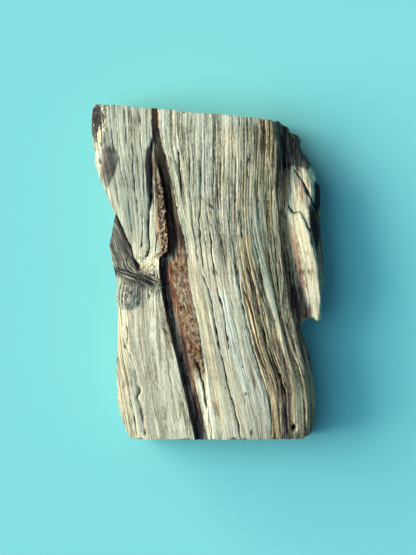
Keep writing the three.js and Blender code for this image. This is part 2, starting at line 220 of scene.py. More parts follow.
@dataclass(frozen=True)
class Line:
    """A line along the grain, from the upper saw cut to the lower one, as (y, x, z) points in millimetres."""

    points: Points

    def x(self, y: Array) -> Array:
        """x at each y, straight between the points."""
        table = np.array(self.points[::-1])
        return np.interp(y, table[:, 0], table[:, 1])

    def z(self, y: Array) -> Array:
        """z at each y, straight between the points."""
        table = np.array(self.points[::-1])
        return np.interp(y, table[:, 0], table[:, 2])


# The weathered face's lines, from left to right: the outline's left side and the bank above it
LEFT_EDGE = Line((
    (50.3, -33.9, 18.0), (47.1, -34.7, 17.0), (42.6, -34.8, 16.0), (37.5, -34.2, 16.0), (35.8, -33.7, 16.5),
    (33.6, -33.9, 17.0), (31.5, -33.4, 18.5), (28.2, -32.3, 20.0), (22.5, -29.8, 21.0), (17.6, -27.4, 20.5),
    (16.0, -27.9, 18.0), (13.8, -28.3, 17.0), (8.0, -29.5, 15.5), (2.7, -28.3, 16.5), (-3.0, -26.8, 18.5),
    (-14.4, -26.7, 20.0), (-28.8, -27.3, 20.0), (-39.0, -26.9, 19.5), (-42.9, -26.0, 19.0),
    (-47.4, -24.4, 18.5), (-49.8, -23.1, 18.0),
))
LEFT_BANK = Line((
    (50.3, -29.6, 22.6), (42.0, -30.2, 22.2), (36.0, -30.4, 21.8), (30.0, -30.2, 22.8), (22.5, -28.0, 23.4),
    (17.6, -25.4, 22.6), (12.0, -24.6, 20.2), (7.0, -23.8, 19.6), (2.5, -22.8, 20.6), (-3.0, -22.3, 22.6),
    (-14.0, -22.8, 24.0), (-28.0, -23.4, 24.2), (-40.0, -22.8, 23.6), (-49.8, -19.0, 23.0),
))
# The cleft: its left lip, the two edges of its floor and its right lip
LEFT_LIP = Line((
    (49.2, -16.3, 24.6), (44.1, -16.4, 24.6), (38.1, -16.3, 24.4), (33.6, -15.7, 23.8), (30.6, -14.8, 23.2),
    (27.6, -13.9, 22.8), (24.6, -13.3, 22.6), (18.6, -12.7, 22.4), (12.6, -12.0, 22.4), (9.6, -11.8, 22.4),
    (6.3, -11.9, 22.6), (5.3, -13.2, 22.8), (4.2, -14.3, 23.0), (3.0, -14.4, 23.2), (0.0, -14.4, 23.4),
    (-5.4, -13.8, 24.0), (-12.9, -12.3, 24.6), (-20.4, -10.5, 24.8), (-29.4, -8.3, 24.8), (-38.4, -6.2, 24.6),
    (-45.9, -4.5, 24.2), (-49.8, -3.7, 24.0),
))
FLOOR_LEFT = Line((
    (49.2, -15.8, 23.4), (44.1, -15.8, 23.2), (38.1, -15.0, 22.0), (33.6, -14.3, 19.8), (30.6, -13.7, 18.0),
    (27.6, -13.0, 17.0), (24.6, -12.5, 16.6), (18.6, -12.0, 16.2), (12.6, -11.4, 16.0), (9.6, -11.2, 16.0),
    (6.3, -11.3, 16.4), (5.3, -12.5, 17.2), (4.2, -13.6, 18.2), (3.0, -13.7, 19.2), (0.0, -13.6, 19.8),
    (-5.4, -13.1, 20.4), (-12.9, -11.6, 21.0), (-20.4, -9.8, 21.2), (-29.4, -7.6, 21.2), (-38.4, -5.5, 21.0),
    (-45.9, -3.8, 20.8), (-49.8, -3.0, 20.6),
))
FLOOR_RIGHT = Line((
    (49.2, -15.0, 23.4), (44.1, -14.9, 23.0), (38.1, -13.8, 21.2), (33.6, -12.8, 18.4), (27.6, -11.7, 16.6),
    (18.6, -10.9, 16.2), (9.6, -10.1, 16.4), (6.3, -10.1, 18.2), (4.6, -10.3, 20.4), (3.0, -10.4, 22.2),
    (-2.4, -10.3, 22.8), (-8.4, -9.0, 23.2), (-14.4, -7.6, 23.4), (-20.4, -6.4, 23.4), (-26.4, -5.2, 23.2),
    (-32.4, -3.8, 23.0), (-38.4, -2.4, 22.8), (-47.4, -0.2, 22.4), (-49.8, 0.2, 22.2),
))
RIGHT_LIP = Line((
    (49.2, -14.5, 24.8), (42.0, -14.3, 24.8), (37.2, -13.2, 25.0), (33.6, -12.3, 25.2), (27.6, -10.9, 25.4),
    (21.6, -9.6, 25.6), (15.6, -8.4, 25.8), (9.6, -6.8, 25.8), (4.8, -6.0, 25.8), (-0.9, -5.3, 25.8),
    (-8.4, -4.3, 25.8), (-14.4, -2.8, 25.8), (-18.9, -2.1, 25.4), (-24.9, -1.3, 25.0), (-30.9, -0.3, 24.6),
    (-38.4, 0.6, 24.4), (-45.9, 1.7, 24.0), (-49.8, 2.3, 23.8),
))
# The broad crown of the main body and the right shoulder, where the face breaks off
CROWN = Line((
    (50.3, 2.4, 26.0), (40.0, 3.4, 26.6), (30.0, 4.8, 27.2), (20.0, 5.6, 27.7), (10.0, 6.8, 28.0),
    (0.0, 7.8, 28.0), (-10.0, 9.2, 27.8), (-20.0, 10.4, 27.2), (-30.0, 11.6, 26.5), (-40.0, 12.0, 25.6),
    (-49.8, 12.0, 24.6),
))
SHOULDER = Line((
    (47.0, 18.0, 23.6), (42.3, 19.8, 23.2), (37.8, 20.4, 23.0), (32.0, 21.2, 23.0), (25.0, 21.8, 22.8),
    (18.0, 21.6, 22.6), (8.0, 22.0, 22.6), (-2.4, 23.0, 22.4), (-11.0, 24.8, 22.2), (-15.4, 26.2, 22.2),
    (-20.7, 27.0, 22.4), (-28.8, 28.6, 22.2), (-38.4, 29.6, 21.8), (-46.8, 29.6, 21.2), (-49.8, 28.6, 20.8),
))
FOOT = Line((
    (47.0, 18.8, 21.0), (42.3, 21.4, 18.0), (37.8, 22.6, 16.8), (32.0, 23.4, 17.6), (25.0, 23.4, 19.4),
    (18.0, 22.7, 19.6), (8.0, 23.1, 18.6), (-2.4, 24.7, 17.2), (-8.0, 26.4, 15.8), (-12.6, 28.6, 14.6),
    (-13.6, 28.8, 15.6), (-14.6, 27.5, 17.8), (-15.4, 26.8, 19.4), (-20.7, 27.9, 19.8), (-28.8, 29.6, 19.0),
    (-38.4, 30.7, 18.0), (-46.8, 30.6, 17.0), (-49.8, 29.3, 16.6),
))
# The crest of the pale tongue that hangs over the notch, and the outline's right side
CREST = Line((
    (47.0, 19.7, 16.4), (42.3, 24.1, 13.0), (37.8, 26.6, 12.6), (34.6, 28.2, 13.8), (31.0, 29.4, 19.6),
    (25.0, 30.8, 21.8), (18.0, 30.6, 22.2), (10.0, 30.8, 22.2), (6.0, 31.6, 21.8), (1.2, 32.8, 21.2),
    (-4.0, 33.3, 20.6), (-8.4, 33.7, 19.8), (-12.6, 33.2, 18.4), (-13.6, 31.0, 16.6), (-14.6, 28.5, 15.6),
    (-15.4, 27.4, 15.6), (-20.7, 28.7, 14.6), (-28.8, 30.6, 12.4), (-38.4, 31.7, 10.2), (-46.8, 31.6, 8.6),
    (-49.8, 29.8, 8.4),
))
RIGHT_EDGE = Line((
    (45.4, 20.6, 12.0), (44.8, 22.7, 10.5), (43.9, 24.2, 9.8), (43.0, 24.9, 9.2), (42.3, 25.0, 9.0),
    (42.0, 26.1, 8.8), (41.1, 26.9, 8.6), (39.7, 27.8, 8.5), (38.1, 28.3, 8.5), (36.9, 28.5, 8.6),
    (36.2, 29.2, 8.8), (35.1, 29.4, 9.0), (34.1, 30.4, 9.2), (33.1, 31.5, 9.6), (31.3, 31.7, 10.2),
    (30.6, 32.3, 10.6), (27.9, 32.7, 11.4), (26.4, 33.4, 12.6), (24.9, 33.9, 13.2), (12.6, 34.0, 14.4),
    (6.6, 34.5, 15.0), (2.1, 35.0, 15.4), (-2.4, 34.8, 15.8), (-7.5, 34.5, 16.0), (-11.4, 34.2, 15.6),
    (-12.6, 34.0, 15.2), (-13.6, 31.6, 14.6), (-14.6, 28.9, 13.8), (-15.4, 28.0, 13.2), (-16.2, 27.9, 12.8),
    (-18.3, 28.3, 12.0), (-20.7, 29.5, 10.8), (-24.0, 30.7, 9.2), (-28.8, 31.5, 7.2), (-38.4, 32.7, 4.8),
    (-42.9, 33.0, 4.2), (-46.8, 32.5, 4.0), (-49.1, 31.3, 4.0), (-49.8, 30.4, 4.0),
))


FOOT_LIFT = 2.2


def foot_line(*places: tuple[float, float]) -> Line:
    """A line of the underside, through (y, x) places: all of it lies FOOT_LIFT high."""
    return Line(tuple((y, x, FOOT_LIFT) for y, x in places))


# The underside's two edges
LEFT_FOOT = foot_line(
    (50.3, -31.0), (36.0, -31.2), (20.0, -27.4), (8.0, -26.2), (-3.0, -24.8), (-20.0, -24.9), (-40.0, -24.4),
    (-49.8, -21.4),
)
RIGHT_FOOT = foot_line(
    (47.0, 18.4), (40.0, 24.0), (26.0, 29.4), (10.0, 30.4), (-5.0, 29.4), (-12.0, 27.0), (-18.0, 26.2),
    (-25.0, 27.8), (-38.0, 30.2), (-46.0, 30.2), (-49.8, 28.4),
)


class Part(IntEnum):
    """The parts of the section round the stick, numbered in the order of their columns."""

    LEFT_SIDE = 0
    LEFT_BANK = 1
    LEFT_SLOPE = 2
    CLEFT_FLOOR = 3
    RIGHT_SLOPE = 4
    BODY = 5
    FLANK = 6
    SHOULDER = 7
    VALLEY = 8
    TONGUE = 9
    RIM = 10
    RIGHT_WALL = 11
    UNDERSIDE = 12
    LEFT_WALL = 13


@dataclass(frozen=True)
class Span:
    """A stretch of the section from its own line to the next one.

    line is where it starts, columns its mesh steps, relief the share of the grain's relief that it takes
    there, and bulge how far its height runs above (or below) a straight blend.
    """

    line: Line
    columns: int
    relief: float
    bulge: float = 0.0


# The face's spans, in the order of Part
FACE = (
    Span(LEFT_EDGE, 26, 0.35, 0.5),
    Span(LEFT_BANK, 60, 0.65),
    Span(LEFT_LIP, 18, 0.3),
    Span(FLOOR_LEFT, 22, 0.15, -0.2),
    Span(FLOOR_RIGHT, 30, 0.4, 0.2),
    Span(RIGHT_LIP, 92, 0.8, 0.3),
    Span(CROWN, 86, 1.0, 0.8),
    Span(SHOULDER, 16, 0.7),
    Span(FOOT, 34, 0.5, 0.9),
    Span(CREST, 12, 0.6, -0.4),
    Span(RIGHT_EDGE, 1, 0.5),
)


@dataclass(frozen=True)
class Grain:
    """The grain's flow. Each row of lines is one grain line's x at the heights in levels."""

    levels: tuple[float, ...] = (50.1, 39.6, 29.1, 18.6, 8.1, -2.4, -12.9, -23.4, -33.9, -44.4, -50.4)
    lines: Points = (
        (-35.4, -34.2, -32.0, -30.2, -29.8, -31.1, -31.1, -30.5, -29.3, -27.5, -26.3),
        (-28.4, -27.7, -26.2, -24.6, -23.4, -23.9, -24.5, -23.3, -20.4, -18.8, -17.9),
        (-18.8, -18.3, -17.9, -17.5, -17.7, -17.6, -17.3, -16.7, -15.2, -13.1, -11.9),
        (-14.1, -13.8, -11.3, -9.0, -6.5, -5.1, -2.9, -1.1, 0.5, 1.8, 2.6),
        (-0.5, -0.5, -0.5, -0.2, 1.2, 2.6, 4.3, 6.4, 8.6, 11.3, 12.8),
        (7.1, 7.1, 7.1, 7.1, 7.2, 8.3, 10.7, 13.5, 17.6, 19.1, 19.2),
        (13.7, 14.0, 13.7, 13.5, 14.9, 17.9, 21.0, 22.8, 25.2, 25.4, 25.4),
        (20.3, 20.3, 20.0, 20.0, 20.7, 22.2, 22.7, 25.4, 28.7, 29.7, 30.0),
        (26.6, 26.6, 26.9, 28.4, 30.5, 32.3, 33.5, 35.0, 36.2, 36.8, 36.8),
        (36.8, 36.8, 36.8, 37.1, 37.7, 38.3, 38.9, 39.8, 40.7, 41.3, 41.3),
    )

    def line_x(self, k: int, y: Array) -> Array:
        """x of a grain line: a cubic through its points, with slopes taken across neighbours.

        Args:
            k: The grain line's number.
            y: Heights along the grain.

        Returns:
            x at each height.
        """
        levels = np.array(self.levels)[::-1]
        values = np.array(self.lines[k])[::-1]
        slopes = np.gradient(values, levels)
        n = np.clip(np.searchsorted(levels, y) - 1, 0, len(levels) - 2)
        step = levels[n + 1] - levels[n]
        t = np.clip((y - levels[n]) / step, 0, 1)
        rise = t * t * (3 - 2 * t)
        start, end = t * (1 - t) ** 2, t * t * (t - 1)
        return mix(values[n], values[n + 1], rise) + step * (start * slopes[n] + end * slopes[n + 1])

    def coordinate(self, x: Array, y: Array) -> Array:
        """The x that the grain line through each point has at the upper cut, straight between two lines.

        Args:
            x: Points' x.
            y: Points' y.

        Returns:
            That x for each point.
        """
        found = np.zeros_like(x)
        last = len(self.lines) - 2
        for k in range(last + 1):
            a, b = self.line_x(k, y), self.line_x(k + 1, y)
            s = mix(self.lines[k][0], self.lines[k + 1][0], (x - a) / (b - a))
            inside = (x >= a) if k else np.full(x.shape, True)
            found = np.where(inside, s, found)
        return found


class Tint(Enum):
    """What a streak or patch does to the wood's colour. Each has a channel of an attribute."""

    # Brightness from furrow to crest: partly the wood's own, partly painted shade in the furrows
    CREST = ("relief", 0)
    # Darkening by grime and stains, and painted shade in checks, holes, pits and the gaps between crumbs
    DIRT = ("relief", 1)
    SAWN = ("relief", 2)
    BLUE = ("tint", 0)
    TAN = ("tint", 1)
    FRESH = ("tint", 2)
    HEART = ("stain", 0)
    BARK = ("stain", 1)
    KNOT = ("stain", 2)
    OLIVE = ("tone", 0)
    PALE = ("tone", 1)
    ROUGH = ("tone", 2)
    CRUMB = ("grit", 0)
    GRIT = ("grit", 1)
    SEAM = ("seam", 0)
    SEAM_AMOUNT = ("seam", 1)
    FORK = ("fork", 0)
    FORK_AMOUNT = ("fork", 1)
    ON_FLAP = ("bend", 0)
    ON_RIB = ("bend", 1)


# The colour attributes, and the UV maps of coordinates across and along the grain
CHANNELS = tuple(dict.fromkeys(tint.value[0] for tint in Tint))
FLOWS = ("Grain", "Rib", "Flap")


@dataclass(frozen=True)
class Check:
    """A crack or furrow along a path of photograph pixels: a bell across it, width and depth in millimetres.
    How dark it is painted is partly grime, partly painted shade in its narrow gap. line names the channel
    that draws its sharp black line, painted shade too, if it has one."""

    path: Points
    width: float
    depth: float
    dirt: float = 1.0
    line: Tint | None = None


@dataclass(frozen=True)
class Step:
    """A ledge along a path of photograph pixels: one side (-1 left, 1 right) lies lower by drop, which
    fades out over reach."""

    path: Points
    side: int
    drop: float
    reach: float


@dataclass(frozen=True)
class Streak:
    """A coloured streak along a path of photograph pixels: half width and raised height in millimetres."""

    path: Points
    width: float
    tint: Tint
    strength: float = 1.0
    height: float = 0.0


@dataclass(frozen=True)
class Patch:
    """A coloured oval: centre and half sizes in photograph pixels, turned by lean degrees from upright."""

    x: float
    y: float
    half_width: float
    half_height: float
    tint: Tint
    strength: float = 1.0
    lean: float = 0.0
    soft: float = 0.35


@dataclass(frozen=True)
class Area:
    """A coloured area inside an outline of photograph pixels. Its edge is as soft as soft and as ragged as
    ragged, both in millimetres."""

    outline: Points
    tint: Tint
    strength: float = 1.0
    soft: float = 0.8
    ragged: float = 0.5


# The channel of each sharp line's offset (0.5 on the line, 1 mm either way at 0 and 1) and of its amount
LINES = {Tint.SEAM: Tint.SEAM_AMOUNT, Tint.FORK: Tint.FORK_AMOUNT}

CHECKS = (
    # The long checks of the main body: from the small cross-grained spot, beside the pale ridge, and right
    Check((
        (205.8, 206), (208.5, 222), (210.5, 240), (213, 258), (215.5, 275), (218.5, 292), (221.5, 305),
        (224.5, 318), (227, 335), (229, 352),
    ), 0.20, 0.6, 0.9, line=Tint.SEAM),
    Check((
        (201, 270), (205, 281), (208.5, 290), (212, 305), (215, 320), (217.5, 335), (220, 350),
        (222.5, 361), (225.5, 373), (228, 385), (231, 397), (235, 410), (238.5, 423), (240, 438),
    ), 0.22, 0.8, line=Tint.FORK),
    Check((
        (233, 258), (237, 275), (240, 292), (243.5, 310), (247, 325), (250.5, 340), (254, 352), (258, 366),
        (262.5, 380), (267, 392), (270, 402), (271, 418), (271.5, 438),
    ), 0.26, 0.8, 0.72, line=Tint.SEAM),
    # Shorter ones of the upper half
    Check(((179.4, 148), (179.8, 170), (181, 185), (182, 199)), 0.22, 0.8, 0.9, line=Tint.SEAM),
    Check((
        (200.8, 160), (200.3, 185), (201, 205), (199, 220), (200.5, 240), (202, 255), (204.5, 272),
    ), 0.20, 0.8, 0.7, line=Tint.FORK),
    Check(((235.5, 158), (235.5, 185), (235, 210)), 0.20, 0.7, 0.6, line=Tint.FORK),
    Check(((239, 208), (240.5, 222), (242, 242)), 0.20, 0.6, 0.8, line=Tint.SEAM),
    Check((
        (188.5, 152), (189.5, 170), (190.5, 190), (191, 200), (193, 225), (196, 245), (199, 265),
    ), 0.18, 0.6, 0.62, line=Tint.FORK),
    Check(((193, 165), (194, 185), (195, 200), (197, 222)), 0.16, 0.5, 0.7, line=Tint.SEAM),
    Check(((216.5, 180), (218, 200), (219, 220), (222, 245), (226, 270)), 0.18, 0.5, 0.7, line=Tint.FORK),
    Check(((247, 122), (247, 160), (248, 200)), 0.16, 0.4, 0.6, line=Tint.SEAM),
    Check(((228, 215), (231, 235), (234, 256)), 0.18, 0.5, 0.7, line=Tint.FORK),
    # Beside the pale bands of the right half
    Check((
        (250.5, 215), (252, 232), (255, 248), (258.5, 264), (262, 282), (265.5, 300),
    ), 0.22, 0.7, 0.8, line=Tint.FORK),
    Check((
        (266, 205), (267, 230), (268.5, 252), (271, 275), (275, 298), (280, 322), (286, 345),
    ), 0.20, 0.7, 0.8, line=Tint.SEAM),
    Check(((272, 225), (275, 250), (277, 275), (278, 292)), 0.18, 0.5, 0.7, line=Tint.FORK),
    Check(((262, 325), (267, 345), (274, 362), (281, 380), (286, 398)), 0.24, 0.7, 0.9, line=Tint.SEAM),
    Check(((270, 345), (277, 365), (283, 388), (286, 415), (287, 438)), 0.24, 0.6, 0.8, line=Tint.FORK),
    Check(((291, 352), (297, 366), (301.5, 386), (304, 408), (305, 434)), 0.20, 0.6, 0.8, line=Tint.SEAM),
    Check(((276, 392), (279, 410), (280, 436)), 0.20, 0.5, 0.7),
    # In the cleft's lower right slope
    Check(((195, 357), (200, 369), (203, 384), (206, 399), (209, 411)), 0.36, 1.0, line=Tint.SEAM),
    Check(((208, 411), (211, 424), (213, 438)), 0.20, 0.5, 0.8),
    # The left bank: its rib's split, the crack down the lower left and the short ones
    Check(((152.2, 136), (152.2, 152), (152.0, 170), (152.4, 185), (152.0, 203)), 0.34, 0.9, 0.9),
    Check((
        (151.9, 190), (150, 209), (148.8, 220), (148.6, 235), (149.4, 248), (147, 256), (143, 262),
    ), 0.40, 1.2, line=Tint.FORK),
    Check((
        (114.5, 212), (118, 219), (122, 228), (126, 237), (130, 245), (132.3, 251), (133.5, 257),
        (137, 263), (142, 268),
    ), 0.42, 1.2, 2.6, line=Tint.SEAM),
    Check(((110, 112), (112, 128), (113.6, 142), (116, 160), (119, 176)), 0.14, 0.3, 0.6, line=Tint.FORK),
    Check(((116, 116), (118.5, 140), (121.5, 168), (126, 192)), 0.14, 0.3, 0.6, line=Tint.SEAM),
    Check(((132.5, 111), (133, 144), (134.2, 170), (135.5, 197)), 0.15, 0.35, 0.7, line=Tint.FORK),
    Check((
        (140, 110), (141, 135), (141.6, 150), (144, 172), (145.5, 200),
    ), 0.15, 0.35, 0.7, line=Tint.SEAM),
    Check(((128.5, 196), (130.5, 215), (133.5, 236)), 0.20, 0.5, 0.7, line=Tint.FORK),
    Check(((143.5, 205), (143.5, 222), (141.5, 240), (141, 252)), 0.20, 0.5, 0.8, line=Tint.SEAM),
    Check((
        (119.5, 332), (123, 338), (126.5, 346), (130, 352), (133.5, 360), (136, 370), (139, 382),
        (140.5, 390), (138, 397), (141, 403), (143, 413), (145, 425), (147, 438),
    ), 0.34, 1.0, 0.62),
    Check(((127, 316), (128.5, 335), (129, 348)), 0.18, 0.4, 0.6, line=Tint.FORK),
    Check(((148, 290), (150, 296), (152, 301)), 0.22, 0.6, line=Tint.SEAM),
    Check(((136.5, 194), (138, 205), (137.5, 216)), 0.25, 0.6, 0.8, line=Tint.SEAM),
    Check(((133.5, 160), (134.5, 180), (136, 196)), 0.16, 0.4, 0.6),
    Check(((125, 106), (126, 125), (127.5, 148)), 0.16, 0.4, 0.6),
    Check(((123, 352), (127, 375), (130, 395), (132, 415), (134, 438)), 0.16, 0.4, 0.5, line=Tint.FORK),
    # The dark split between the main body and the broken corner
    Check(((280.5, 120), (281.5, 140), (283, 158), (285, 172)), 0.55, 1.2, 1.0),
    # The small cross-grained spot
    Check(((204, 203), (208, 204.5), (212, 208), (214, 213)), 0.18, 0.5, 0.9, line=Tint.FORK),
    Check(((208, 208), (211, 213), (212.5, 219)), 0.20, 0.5, 1.0),
    Check(((209, 203), (213, 201.5), (218, 202)), 0.15, 0.4, 0.7),
    # Faint ones at the lower left
    Check(((130, 393), (135, 414), (138, 438)), 0.18, 0.5, 0.7),
    Check(((178, 385), (184, 410), (189, 436)), 0.16, 0.3, 0.5),
    # The bent fibres above the knot, and the round knot's lower rim
    Check((
        (114, 266), (122, 269.5), (131, 273), (140, 277.5), (148, 281.5), (158, 286.5),
    ), 0.24, 0.9, line=Tint.SEAM),
    Check(((113, 271), (122, 274), (131, 277), (140, 282), (146, 286)), 0.24, 0.5, 0.8, line=Tint.FORK),
    Check(((132, 266), (140, 270), (148, 274), (158, 277)), 0.20, 0.6, 0.9, line=Tint.FORK),
    Check(((146, 277), (152, 279.5), (157, 282)), 0.18, 0.5, 0.9),
    Check(((120, 303), (126, 308), (133, 310), (139, 306), (142, 298)), 0.50, 0.35, 0.5),
    # The tongue's slanting cracks
    Check((
        (291, 166), (295, 171), (299, 177.5), (303, 185), (307, 193), (311, 202), (315, 210), (317, 216),
    ), 0.46, 1.4, 1.8, line=Tint.SEAM),
    Check((
        (285, 201), (288, 206), (291, 212), (294, 213.5), (299, 212), (302, 217), (305.5, 223),
        (308.5, 230), (311, 240), (313, 250),
    ), 0.28, 0.7, 0.9, line=Tint.FORK),
    Check(((313.5, 203), (320, 203)), 0.25, 0.5, line=Tint.FORK),
)

# The flap's raised edge, the crack down the lower left, and the tongue's two
STEPS = (
    Step(((115.5, 214), (122, 228), (130, 245), (133.5, 257)), -1, 0.9, 4.0),
    Step((
        (119.5, 332), (126.5, 346), (136, 370), (140.5, 390), (138, 397), (143, 413), (147, 438),
    ), -1, 0.4, 5.0),
    Step(((291, 166), (299, 177.5), (307, 193), (317, 216)), -1, 0.9, 3.0),
    Step(((285, 201), (291, 212), (299, 212), (308.5, 230), (311, 240)), 1, 0.6, 3.0),
)

